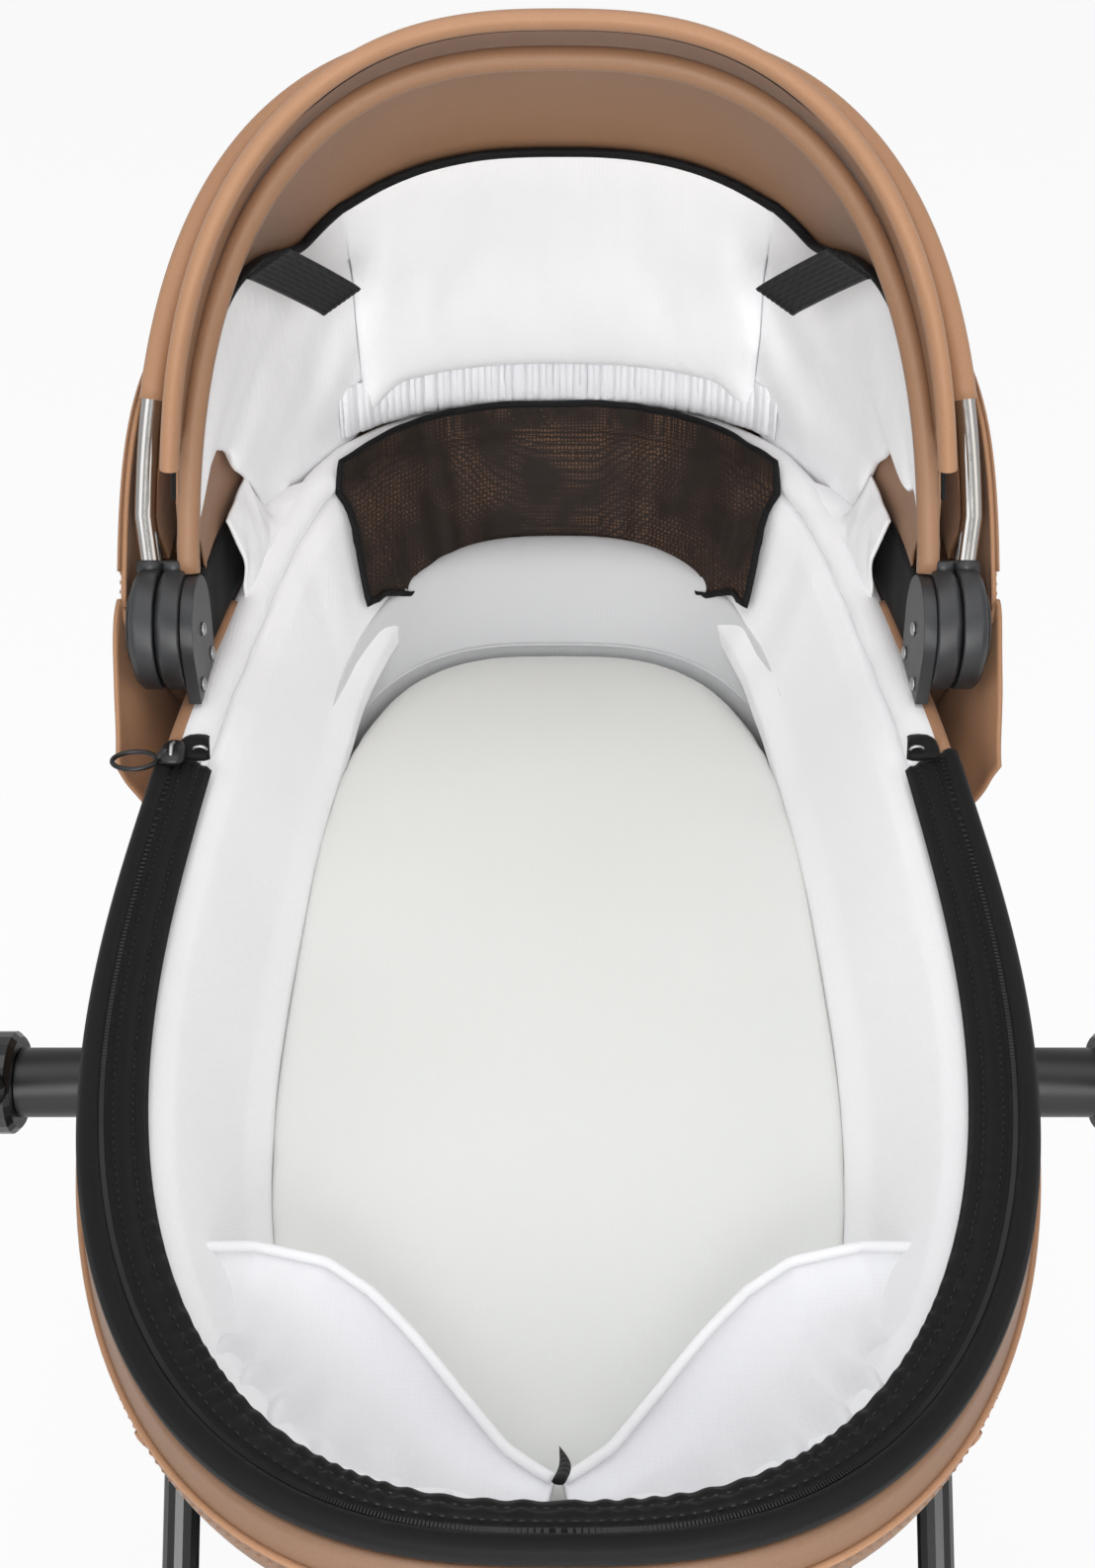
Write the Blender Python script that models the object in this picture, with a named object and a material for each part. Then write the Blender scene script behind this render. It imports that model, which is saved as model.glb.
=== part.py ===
# Pram: carrycot with a folding hood on a folding four-wheel chassis.
# Metres, +Z up, +Y towards the head end, the parent stands at the foot end (-Y).
import math

import bmesh
import bpy
from mathutils import Matrix, Vector

# Clearances
GAP = 0.0003
RUN = 0.0003

# Carrycot
COT_Y = 0.124
RIM_LIFT = 0.16
RIM_HALF_W = 0.215
RIM_FOOT_L = 0.42
RIM_POWER = 2.8
TUB_DEPTH = 0.17
TUB_WALL = 0.004
BASE_HALF_W = 0.165
BASE_HALF_L = 0.35
BAND_W = 0.024
BAND_TOP = 0.006
BAND_DROP = 0.006
LINER_TOP_W = 0.020
LINER_FLOOR_HALF_W = 0.153
BOARD_T = 0.012
MATTRESS_DROP = 0.09
MATTRESS_FOOT_L = 0.345
MATTRESS_HEAD_L = 0.323
BOLSTER_DROP = 0.046
WINDOW_T = 0.002

# Hood, made of shells turned about the hub axis
HOOD_OFFSET = 0.12
HOOD_LIFT = 0.04
HOOD_R = 0.324
HOOD_HALF_W = 0.243
HOOD_POWER = 2.6
HOOD_T = 0.003
HOOD_STEP_R = 0.006
HOOD_STEP_W = 0.016
HOOD_INNER_R = 0.055
REAR_SPAN = (-8.0, 45.0)
MID_SPAN = (15.0, 57.0)
FRONT_SPAN = (25.0, 71.0)
ROLL_R = 0.009
STRAP_W = 0.026
STRAP_T = 0.002
CARRY_R = 0.006
CARRY_ANGLE = 60.0
DRUM_R = 0.0335
DRUM_T = 0.0135
PIVOT_R = 0.005
BRACKET_T = 0.007
BRACKET_R = 0.030

# Chassis
HUB_Z = 0.54
HUB_BACK = 0.03
HUB_R = 0.035
HUB_IN_X = 0.212
HUB_OUT_X = 0.25
STUB_R = 0.019
STUB_OUT_X = 0.295
ARM_X = 0.31
KNUCKLE_T = 0.028
KNUCKLE_R = 0.028
PIN_R = 0.008
LEG_R = 0.013
CASTER_X = 0.19
CASTER_AHEAD = 0.35
CASTER_R = 0.020
CASTER_H = 0.050
TRAIL = 0.035
FRONT_WHEEL_R = 0.10
FRONT_WHEEL_T = 0.035
REAR_WHEEL_R = 0.15
REAR_WHEEL_T = 0.040
REAR_WHEEL_X = 0.265
REAR_BACK = 0.36
AXLE_R = 0.011
ARM_R = 0.0145
ARM_LEN = 0.42
SLIDE_R = 0.011
HANDLE_LEN = 0.80
HANDLE_RISE = 36.0
HANDLE_BEND = 0.05
GRIP_R = 0.017
GRIP_HALF = 0.22
RAIL_R = 0.006
CROSS_R = 0.010
CROSS_SHARE = 0.64
LEG_END_Z = 0.226
LEG_STOP = 0.0366
BASKET_DEPTH = 0.15
BASKET_BACK = 0.22
BASKET_T = 0.0025

# Worked out from the sizes above
RIM_Z = HUB_Z + RIM_LIFT
HUB_Y = COT_Y - HUB_BACK
HOOD_Y = COT_Y + HOOD_OFFSET
HOOD_Z = RIM_Z + HOOD_LIFT
HEAD_RISE = HOOD_LIFT - BAND_TOP + 0.0005
RIM_HEAD_L = HOOD_OFFSET + math.sqrt(HOOD_R ** 2 - (BAND_TOP + BAND_DROP) ** 2) - 3 * GAP
TUB_BOTTOM = RIM_Z - TUB_DEPTH
FLOOR_TOP = TUB_BOTTOM + TUB_WALL
BOARD_TOP = FLOOR_TOP + GAP + BOARD_T
MATTRESS_TOP = RIM_Z - MATTRESS_DROP
REAR_Y = HUB_Y - REAR_BACK
CASTER_Y = COT_Y + CASTER_AHEAD
DRUM_IN_X = HOOD_HALF_W - 2 * HOOD_STEP_W - 0.0065
CARRY_END_X = DRUM_IN_X + 1.5 * DRUM_T + GAP
CARRY_HALF_W = HOOD_HALF_W - HOOD_STEP_W + CARRY_R - 0.0005


def clear_scene():
    for obj in list(bpy.data.objects):
        bpy.data.objects.remove(obj, do_unlink=True)


def material(name, colour, rough, metal=0.0):
    mat = bpy.data.materials.new(name)
    mat.use_nodes = True
    bsdf = mat.node_tree.nodes["Principled BSDF"]
    bsdf.inputs["Base Color"].default_value = (*colour, 1.0)
    bsdf.inputs["Roughness"].default_value = rough
    bsdf.inputs["Metallic"].default_value = metal
    mat.diffuse_color = (*colour, 1.0)
    return mat


def add_object(name, mesh_or_bm, mat, smooth=True, pivot=(0, 0, 0)):
    mesh = bpy.data.meshes.new(name)
    bmesh.ops.remove_doubles(mesh_or_bm, verts=mesh_or_bm.verts, dist=1e-6)
    bmesh.ops.recalc_face_normals(mesh_or_bm, faces=mesh_or_bm.faces)
    bmesh.ops.translate(mesh_or_bm, verts=mesh_or_bm.verts, vec=-Vector(pivot))
    mesh_or_bm.to_mesh(mesh)
    mesh_or_bm.free()
    if smooth:
        mesh.shade_smooth()
        mesh.set_sharp_from_angle(angle=math.radians(35))
    mesh.materials.append(mat)
    obj = bpy.data.objects.new(name, mesh)
    obj.location = pivot
    bpy.context.scene.collection.objects.link(obj)
    return obj


def grid_body(rings, close_ends=False):
    """A closed body from rings of points. close_ends joins the last ring to the
    first, otherwise both are capped."""
    bm = bmesh.new()
    rows = [[bm.verts.new(p) for p in ring] for ring in rings]
    pairs = list(zip(rows, rows[1:]))
    if close_ends:
        pairs.append((rows[-1], rows[0]))
    else:
        bm.faces.new(rows[0])
        bm.faces.new(rows[-1])
    for a, b in pairs:
        for i in range(len(a)):
            j = (i + 1) % len(a)
            bm.faces.new((a[i], a[j], b[j], b[i]))
    return bm


def circle(centre, u, v, radius, count):
    angles = [2 * math.pi * i / count for i in range(count)]
    return [centre + u * (radius * math.cos(a)) + v * (radius * math.sin(a)) for a in angles]


def path_frames(points):
    """A tangent and two cross directions at each point, carried along without twist."""
    pts = [Vector(p) for p in points]
    tangents = []
    for i in range(len(pts)):
        before = pts[max(i - 1, 0)]
        after = pts[min(i + 1, len(pts) - 1)]
        tangents.append((after - before).normalized())
    side = tangents[0].orthogonal().normalized()
    frames = []
    for point, tangent in zip(pts, tangents):
        side = (side - tangent * side.dot(tangent)).normalized()
        frames.append((point, side, tangent.cross(side)))
    return frames


def tube(points, radius, count=12):
    radii = radius if isinstance(radius, (list, tuple)) else [radius] * len(points)
    return grid_body([circle(p, u, v, r, count) for (p, u, v), r in zip(path_frames(points), radii)])


def lathe_x(profile, centre, count=24, bored=True):
    """Turns (x, r) points about an X axis through centre. A bored profile is a closed section off the axis."""
    cx, cy, cz = centre
    rings = []
    for i in range(count):
        a = 2 * math.pi * i / count
        rings.append([Vector((cx + x, cy + r * math.cos(a), cz + r * math.sin(a))) for x, r in profile])
    if bored:
        return grid_body(rings, close_ends=True)
    turned = [[ring[k] for ring in rings] for k in range(len(profile))]
    return grid_body(turned)


def lathe_z(profile, centre, count=24):
    """Turns (r, z) points of a closed section about a Z axis through centre."""
    cx, cy, cz = centre
    rings = []
    for i in range(count):
        a = 2 * math.pi * i / count
        rings.append([Vector((cx + r * math.cos(a), cy + r * math.sin(a), cz + z)) for r, z in profile])
    return grid_body(rings, close_ends=True)


def cylinder(start, end, radius, count=16):
    return tube([start, end], radius, count)


def box_body(low, high):
    (x0, y0, z0), (x1, y1, z1) = low, high
    ring = [(x0, y0), (x1, y0), (x1, y1), (x0, y1)]
    return grid_body([[Vector((x, y, z)) for x, y in ring] for z in (z0, z1)])


def rounded_box(low, high, radius, segments=2):
    bm = box_body(low, high)
    bmesh.ops.bevel(bm, geom=bm.edges[:], offset=radius, segments=segments, affect="EDGES", profile=0.5)
    return bm


def extrude_profile_y(profile, y0, y1):
    return grid_body([[Vector((x, y, z)) for x, z in profile] for y in (y0, y1)])


def extrude_profile_x(profile, x0, x1):
    return grid_body([[Vector((x, y, z)) for y, z in profile] for x in (x0, x1)])


def combine(name, bodies, mat, operation="UNION", pivot=(0, 0, 0)):
    """Joins or cuts closed bodies into one solid with exact Booleans."""
    first = add_object(name, bodies[0], mat, smooth=False)
    tools = []
    for i, body in enumerate(bodies[1:]):
        kind = operation if isinstance(operation, str) else operation[i]
        tool = add_object(f"{name}_tool{i}", body, mat, smooth=False)
        mod = first.modifiers.new(f"join{i}", "BOOLEAN")
        mod.object = tool
        mod.operation = kind
        mod.solver = "EXACT"
        tools.append(tool)
    graph = bpy.context.evaluated_depsgraph_get()
    mesh = bpy.data.meshes.new_from_object(first.evaluated_get(graph), depsgraph=graph)
    bm = bmesh.new()
    bm.from_mesh(mesh)
    for obj in [first] + tools:
        bpy.data.objects.remove(obj, do_unlink=True)
    return add_object(name, bm, mat, pivot=pivot)


def mirrored(side, x):
    return x if side == "right" else -x


def egg(half_w, foot_l, head_l, power, z, count=40, centre_y=COT_Y, lift=0.0):
    """An egg-shaped outline: superellipse halves of different length. lift raises the head end smoothly."""
    ring = []
    for i in range(count):
        t = 2 * math.pi * i / count
        c, s = math.cos(t), math.sin(t)
        length = head_l if s > 0 else foot_l
        x = half_w * math.copysign(abs(c) ** (2 / power), c)
        y = length * math.copysign(abs(s) ** (2 / power), s)
        ring.append(Vector((x, centre_y + y, z + lift * head_ramp(y / max(head_l, 1e-6)))))
    return ring


def head_ramp(share):
    """0 up to a third of the way to the head end, then a smooth rise to 1."""
    t = min(max((share - 0.36) / 0.50, 0.0), 1.0)
    return t * t * (3 - 2 * t)


def tub_sizes(level, inset=0.0):
    """Half width, foot length and head length of the tub at a share of its height, less an inset."""
    swell = math.sin(level * math.pi / 2)
    half_w = BASE_HALF_W + (RIM_HALF_W - BAND_W * 0.1 - BASE_HALF_W) * swell
    foot = BASE_HALF_L + (RIM_FOOT_L - BAND_W * 0.1 - BASE_HALF_L) * swell
    head = BASE_HALF_L + (RIM_HEAD_L - BAND_W * 0.1 - BASE_HALF_L) * swell
    return half_w - inset, foot - inset, head - inset


def cot_shell(mat):
    top = RIM_Z - BAND_DROP - GAP
    levels = [0.0, 0.04, 0.15, 0.32, 0.55, 0.8, 1.0]
    outer = []
    for level in levels:
        inset = 0.012 if level == 0.0 else (0.003 if level == 0.04 else 0.0)
        w, f, h = tub_sizes(level, inset)
        outer.append(egg(w, f, h, RIM_POWER, TUB_BOTTOM + (top - TUB_BOTTOM) * level,
            lift=HEAD_RISE * level))
    inner = []
    for level in reversed(levels[1:]):
        w, f, h = tub_sizes(level, TUB_WALL + (0.004 if level == 0.04 else 0.0))
        z = FLOOR_TOP if level == levels[1] else TUB_BOTTOM + (top - TUB_BOTTOM) * level
        inner.append(egg(w, f, h, RIM_POWER, z, lift=0.0 if level == levels[1] else HEAD_RISE * level))
    add_object("cot_shell", grid_body(outer + inner), mat)


def rim_band(mat):
    """The zip band along the rim: a rolled outer edge, a groove and a gathered inner tape."""
    section = [(0.0, -BAND_DROP), (0.0, 0.002), (0.003, BAND_TOP), (0.007, BAND_TOP),
        (0.0085, BAND_TOP - 0.003),
               (0.0100, BAND_TOP - 0.001), (BAND_W - 0.003, BAND_TOP - 0.001), (BAND_W, 0.001),
               (BAND_W, -BAND_DROP)]
    rings = [egg(RIM_HALF_W - i, RIM_FOOT_L - i, RIM_HEAD_L - i, RIM_POWER, RIM_Z + z, lift=HEAD_RISE)
             for i, z in section]
    add_object("rim_band", grid_body(rings, close_ends=True), mat)


def liner(mat):
    """The padded wall lining, thick at the mattress and thin at the rim."""
    top = RIM_Z - BAND_DROP - 2 * GAP
    rings = []
    for level in (0.15, 0.32, 0.55, 0.8, 1.0):
        w, f, h = tub_sizes(level, TUB_WALL + 3 * GAP)
        rings.append(egg(w, f, h, RIM_POWER, TUB_BOTTOM + (top - TUB_BOTTOM) * level,
            lift=HEAD_RISE * level))
    top_w = RIM_HALF_W - LINER_TOP_W - 0.006
    for level, w, foot_t, head_t in ((1.0, top_w, 0.0122, 0.0187), (0.8, top_w - 0.008, 0.012, 0.018),
                                     (0.6, 0.168, 0.0138, 0.012), (0.45, LINER_FLOOR_HALF_W, 0.014, 0.014),
                                     (0.15, LINER_FLOOR_HALF_W, 0.0105, 0.010)):
        _, foot, head = tub_sizes(level, TUB_WALL + 3 * GAP)
        rings.append(egg(w, foot - foot_t, head - head_t, RIM_POWER, TUB_BOTTOM + (top - TUB_BOTTOM) * level,
                         lift=HEAD_RISE * level))
    add_object("liner", grid_body(rings, close_ends=True), mat)


def mattress_outline(inset, z):
    w = LINER_FLOOR_HALF_W - 0.002 - inset
    return egg(w, MATTRESS_FOOT_L - inset, MATTRESS_HEAD_L - inset, 3.0, z, count=40)


def mattress(mat):
    """A crowned pad: sides drawn in at the seams and a swell in the middle."""
    low = BOARD_TOP + GAP
    high = MATTRESS_TOP
    rings = [mattress_outline(0.014, low), mattress_outline(0.006, low + 0.008),
             mattress_outline(0.000, (low + high) / 2), mattress_outline(0.003, high - 0.010),
             mattress_outline(0.012, high - 0.003), mattress_outline(0.060, high)]
    add_object("mattress", grid_body(rings), mat)


def base_board(mat):
    rings = [egg(BASE_HALF_W - 0.018, BASE_HALF_L - 0.018, BASE_HALF_L - 0.018, RIM_POWER, z, count=32)
             for z in (FLOOR_TOP + GAP, BOARD_TOP)]
    add_object("base_board", grid_body(rings), mat)


def bolster(mat):
    """The half-moon head pad between the mattress and the head wall."""
    steps = 22
    start, end = math.radians(33), math.radians(147)
    low = BOARD_TOP + GAP
    head_in = MATTRESS_HEAD_L + 0.0025
    head_out = RIM_HEAD_L - 0.073
    rings = []
    for i in range(steps + 1):
        t = start + (end - start) * i / steps
        c, s = math.cos(t), math.sin(t)
        sign = math.copysign(1, c)
        near = Vector((0.1535 * sign * abs(c) ** (2 / 3.0), COT_Y + head_in * s ** (2 / 3.0), 0))
        far = Vector((0.1525 * sign * abs(c) ** (2 / RIM_POWER), COT_Y + head_out * s ** (2 / RIM_POWER), 0))
        share = math.sin(math.pi * i / steps) ** 0.5
        far = near + (far - near) * max(share, 0.25)
        top = MATTRESS_TOP - 0.004 + (MATTRESS_DROP - BOLSTER_DROP + 0.002) * share
        ring = []
        for k, z in ((0.0, low), (0.0, MATTRESS_TOP - 0.012),
                     (0.2, MATTRESS_TOP + (top - MATTRESS_TOP) * 0.55),
                     (0.55, top - 0.003), (0.9, top), (1.0, top - 0.008),
                     (1.0, MATTRESS_TOP - 0.024), (0.3, low)):
            p = near.lerp(far, k)
            ring.append(Vector((p.x, p.y, z)))
        rings.append(ring)
    add_object("head_bolster", grid_body(rings), mat)


def lune(half_w, radius, power, span, thickness, steps, cuts=14, min_r=HOOD_INNER_R):
    """Part of a shell turned about the hood's axis: closed sections swept over a span of degrees."""
    start, end = span
    limit = half_w * (1 - (min_r / radius) ** power) ** (1 / power)
    stations = [-limit * math.cos(math.pi * i / cuts) for i in range(cuts + 1)]

    def ring_at(angle):
        a = math.radians(angle)
        outer, inner = [], []
        for x in stations:
            r = radius * (1 - min(abs(x) / half_w, 1.0) ** power) ** (1 / power)
            inner_r = (radius - thickness) * (1 - min(abs(x) / half_w, 1.0) ** power) ** (1 / power)
            x_in = x * (half_w - thickness) / half_w
            outer.append(Vector((x, HOOD_Y + r * math.cos(a), HOOD_Z + r * math.sin(a))))
            inner.append(Vector((x_in, HOOD_Y + inner_r * math.cos(a), HOOD_Z + inner_r * math.sin(a))))
        return outer + inner[::-1]

    return grid_body([ring_at(start + (end - start) * i / steps) for i in range(steps + 1)])


def hood_sizes(layer):
    return HOOD_HALF_W - HOOD_STEP_W * layer, HOOD_R - HOOD_STEP_R * layer


def arch_points(half_w, radius, power, angle, count, min_r):
    a = math.radians(angle)
    limit = half_w * (1 - (min_r / radius) ** power) ** (1 / power)
    pts = []
    for i in range(count + 1):
        x = -limit * math.cos(math.pi * i / count)
        r = radius * (1 - min(abs(x) / half_w, 1.0) ** power) ** (1 / power)
        pts.append((x, HOOD_Y + r * math.cos(a), HOOD_Z + r * math.sin(a)))
    return pts


def hood_panels(mat, roll_mat):
    w, r = hood_sizes(0)
    add_object("hood_rear_panel", lune(w, r + HOOD_T, HOOD_POWER, REAR_SPAN, HOOD_T, 8), mat)
    w, r = hood_sizes(1)
    add_object("hood_mid_panel", lune(w, r + HOOD_T, HOOD_POWER, MID_SPAN, HOOD_T, 7), mat)
    w, r = hood_sizes(2)
    add_object("hood_front_panel", lune(w, r + HOOD_T, HOOD_POWER, FRONT_SPAN, HOOD_T, 7), mat)
    middle = r + HOOD_T - ROLL_R
    radii = [ROLL_R * (0.45 + 0.55 * min(1.0, 5.0 * min(i, 30 - i) / 30)) for i in range(31)]
    flat = arch_points(w - ROLL_R * 0.4, middle, HOOD_POWER, 0.0, 30, HOOD_INNER_R + 0.03)
    points = []
    for (x, y, _), thick in zip(flat, radii):
        reach = y - HOOD_Y
        a = math.radians(FRONT_SPAN[1]) + math.asin((thick + 3 * GAP) / reach)
        points.append((x, HOOD_Y + reach * math.cos(a), HOOD_Z + reach * math.sin(a)))
    add_object("hood_front_roll", tube(points, radii, 8), roll_mat)


def hood_lining(mat, strap_mat):
    """The white curtain at the back of the hood, standing on the rim band, and two retaining straps."""
    w, r = hood_sizes(2)
    strap_low = r - 10 * GAP - STRAP_T
    curtain = lune(0.185, strap_low - 0.004, 3.0, (0.0, 30.0), 0.022, 6, cuts=14, min_r=0.17)
    add_object("hood_curtain", curtain, mat)
    for side in ("left", "right"):
        rings = []
        for i in range(5):
            a = math.radians(FRONT_SPAN[0] + 2 + 12 * i / 4)
            ring = []
            for x, low in ((0.115, False), (0.115 + STRAP_W, False), (0.115 + STRAP_W, True), (0.115, True)):
                share = (1 - (x / (w - HOOD_T)) ** HOOD_POWER) ** (1 / HOOD_POWER)
                rr = r * share - 10 * GAP - (STRAP_T if low else 0.0)
                ring.append(Vector((mirrored(side, x), HOOD_Y + rr * math.cos(a),
                    HOOD_Z + rr * math.sin(a))))
            rings.append(ring)
        add_object(f"hood_strap_{side}", grid_body(rings), strap_mat)


def hood_hubs(black, steel, chrome):
    """Each side: a bracket on the rim, a pivot pin, an inner drum for the front bow, an outer one for the handle."""
    inner_x = DRUM_IN_X
    outer_x = DRUM_IN_X + DRUM_T + GAP
    for side in ("left", "right"):
        sign = 1 if side == "right" else -1
        pivot = (0, HOOD_Y, HOOD_Z)
        plate_x = (DRUM_IN_X - GAP - BRACKET_T, DRUM_IN_X - GAP)
        xs = sorted(sign * x for x in plate_x)
        foot = RIM_Z + BAND_TOP + 3 * GAP
        top = [math.radians(15 * i) for i in range(13)]
        outline = [(HOOD_Y - 0.026, foot), (HOOD_Y + 0.026, foot)]
        outline += [(HOOD_Y + BRACKET_R * math.cos(a), HOOD_Z + BRACKET_R * math.sin(a)) for a in top]
        plate = extrude_profile_x(outline, xs[0], xs[1])
        pin = cylinder((sign * (plate_x[0] + 0.002), HOOD_Y, HOOD_Z),
                       (sign * (outer_x + DRUM_T - 0.002), HOOD_Y, HOOD_Z), PIVOT_R, 16)
        combine(f"hood_bracket_{side}", [plate, pin], black)
        bore = PIVOT_R + RUN
        edge = 0.003
        ring = [(0, bore), (DRUM_T, bore), (DRUM_T, DRUM_R - edge), (DRUM_T - edge, DRUM_R), (0, DRUM_R)]
        add_object(f"hood_drum_inner_{side}",
                   lathe_x([(sign * (inner_x + x), r) for x, r in ring], (0, HOOD_Y, HOOD_Z), 20), black,
                   pivot=pivot)
        add_object(f"hood_drum_outer_{side}",
                   lathe_x([(sign * (outer_x + x), r) for x, r in ring], (0, HOOD_Y, HOOD_Z), 20), black,
                   pivot=pivot)
    w, r = hood_sizes(2)
    bow_x = w - 0.0075
    bow = arch_points(bow_x, r - 0.014, HOOD_POWER, FRONT_SPAN[1] - 4.0, 22, DRUM_R + GAP)
    add_object("hood_front_bow", tube(bow, 0.004, 8), steel)
    lean = math.radians(CARRY_ANGLE)
    start = DRUM_R + GAP + 0.45 * CARRY_R
    carry = arch_points(CARRY_HALF_W, r + HOOD_T + CARRY_R + 2 * GAP, 3.2, CARRY_ANGLE, 26,
        HOOD_INNER_R - CARRY_R)
    for sign in (-1, 1):
        foot = (sign * CARRY_END_X, HOOD_Y + start * math.cos(lean), HOOD_Z + start * math.sin(lean))
        carry.insert(0 if sign < 0 else len(carry), foot)
    add_object("carry_handle", tube(carry, CARRY_R, 10), chrome)


def foot_flaps(mat):
    """Two petal-shaped flaps of the foot cover, lying against the foot wall."""
    for side in ("left", "right"):
        rings = []
        count = 12
        for i in range(count + 1):
            t = i / count
            x = 0.006 + 0.135 * t
            height = 0.012 + 0.030 * math.sin(math.pi * (0.15 + 0.7 * t))
            foot_y = -MATTRESS_FOOT_L * (1 - (x / 0.158) ** 3.0) ** (1 / 3.0) + 0.010
            lean = 0.030 + 0.045 * math.sin(math.pi * t)
            z0 = MATTRESS_TOP - 0.0020
            ring = [(0.0, 0.0), (0.006, 0.0), (lean + 0.006, height), (lean, height + 0.004)]
            rings.append([Vector((mirrored(side, x), COT_Y + foot_y + y, z0 + z)) for y, z in ring])
        add_object(f"foot_flap_{side}", grid_body(rings), mat)


def mesh_window(mat):
    """The curved net in the head wall."""
    rings = []
    count = 18
    for i in range(count + 1):
        t = math.radians(48 + 84 * i / count)
        c, s = math.cos(t), math.sin(t)
        ring = []
        for level, back in ((0.78, 0.0), (0.93, 0.0), (0.93, WINDOW_T), (0.78, WINDOW_T)):
            w = 0.176 + 0.010 * level - back
            head = RIM_HEAD_L - 0.0305 - 0.0074 + (level - 0.78) * 0.012 - back
            z = TUB_BOTTOM + (RIM_Z - BAND_DROP - TUB_BOTTOM) * level + HEAD_RISE * level
            x = w * math.copysign(abs(c) ** (2 / RIM_POWER), c)
            ring.append(Vector((x, COT_Y + head * s ** (2 / RIM_POWER), z)))
        rings.append(ring)
    add_object("mesh_window", grid_body(rings), mat)


def zip_slider(mat, pull_mat):
    """The slider at the left end of the zip with its ring pull."""
    x = -(RIM_HALF_W - 0.010)
    y = COT_Y + 0.045
    z = RIM_Z + BAND_TOP + GAP
    add_object("zip_slider", rounded_box((x - 0.006, y - 0.009, z), (x + 0.006, y + 0.009, z + 0.005),
        0.0015), mat)
    pull_z = z + 0.0025
    centre = Vector((x - 0.019, y - 0.008, pull_z))
    ring = []
    for i in range(20):
        a = 2 * math.pi * i / 20
        out = Vector((math.cos(a), math.sin(a), 0))
        mid = centre + Vector((0.0110 * math.cos(a), 0.0075 * math.sin(a), 0))
        ring.append([mid + out * 0.0018, mid + Vector((0, 0, 0.0012)), mid - out * 0.0018,
            mid - Vector((0, 0, 0.0012))])
    add_object("zip_pull", grid_body(ring, close_ends=True), pull_mat)


def side_hubs(black, steel):
    """The chassis's side joints with an outboard stub that carries the handle arm, and the cot's adapters."""
    for side in ("left", "right"):
        sign = 1 if side == "right" else -1
        edge = 0.004
        pin_out = STUB_OUT_X + KNUCKLE_T + 2 * GAP + 0.006
        inner_pin = 0.012
        profile = [(HUB_IN_X - 0.020, inner_pin), (HUB_IN_X, inner_pin), (HUB_IN_X, HUB_R - edge),
                   (HUB_IN_X + edge, HUB_R), (HUB_OUT_X - edge, HUB_R), (HUB_OUT_X, HUB_R - edge),
                   (HUB_OUT_X + 0.004, STUB_R), (STUB_OUT_X, STUB_R), (STUB_OUT_X, PIN_R), (pin_out, PIN_R)]
        add_object(f"side_hub_{side}",
                   lathe_x([(sign * x, r) for x, r in profile], (0, HUB_Y, HUB_Z), 24, bored=False), black,
                   pivot=(0, HUB_Y, HUB_Z))
        low = TUB_BOTTOM - GAP - 0.018
        shelf = [(0.170, low - GAP - 0.020), (0.2080, low - GAP - 0.020), (0.2080, HUB_Z - 0.008),
                 (HUB_IN_X + 0.012, HUB_Z - 0.008), (HUB_IN_X + 0.012, HUB_Z + 0.006),
                 (0.2030, HUB_Z + 0.006), (0.2030, low - GAP), (0.170, low - GAP)]
        add_object(f"cot_adapter_{side}",
                   extrude_profile_y([(sign * x, z) for x, z in shelf], HUB_Y + HUB_R + GAP,
                       HUB_Y + HUB_R + 0.052),
                   black, smooth=False)


def cot_crossbar(mat):
    """The bar under the tub: its ends lie on the adapters and its deeper middle is the cot's own foot."""
    high = TUB_BOTTOM - GAP
    low = high - 0.018
    y0 = HUB_Y + HUB_R + 0.004
    end, foot = 0.2022, 0.155
    profile = [(-end, low), (-foot - 0.004, low), (-foot, low - 0.004), (foot, low - 0.004),
               (foot + 0.004, low), (end, low), (end, high - 0.003), (end - 0.003, high),
               (-end + 0.003, high), (-end, high - 0.003)]
    add_object("cot_crossbar", extrude_profile_y(profile, y0, y0 + 0.044), mat, smooth=False)


def leg_direction(target_y, target_z):
    d = Vector((0, target_y - HUB_Y, target_z - HUB_Z))
    return d.normalized(), d.length


def front_frame(tube_mat, black):
    for side in ("left", "right"):
        sign = 1 if side == "right" else -1
        centre = Vector((sign * 0.231, HUB_Y, HUB_Z))
        end = Vector((sign * CASTER_X, CASTER_Y, LEG_END_Z))
        d = (end - centre).normalized()
        start = centre + d * (HUB_R + 5 * GAP)
        finish = end - d * LEG_STOP
        add_object(f"front_leg_{side}", tube([start, finish], LEG_R, 12), tube_mat)
        bore = PIN_R + RUN
        base = FRONT_WHEEL_R * 2 + 0.016
        ring = [(bore, 0), (CASTER_R - 0.002, 0), (CASTER_R, 0.002), (CASTER_R, CASTER_H - 0.004),
                (CASTER_R - 0.004, CASTER_H), (bore, CASTER_H)]
        housing = lathe_z(ring, (sign * CASTER_X, CASTER_Y, base), 20)
        add_object(f"caster_housing_{side}", housing, black)


def cross_point():
    """Where the cross tube meets the front legs."""
    return Vector((0.231, HUB_Y, HUB_Z)).lerp(Vector((CASTER_X, CASTER_Y, LEG_END_Z)), CROSS_SHARE)


def front_cross(tube_mat):
    p = cross_point()
    reach = p.x - LEG_R - 0.0012
    add_object("front_cross_tube", cylinder((-reach, p.y, p.z), (reach, p.y, p.z), CROSS_R, 14), tube_mat)


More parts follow.
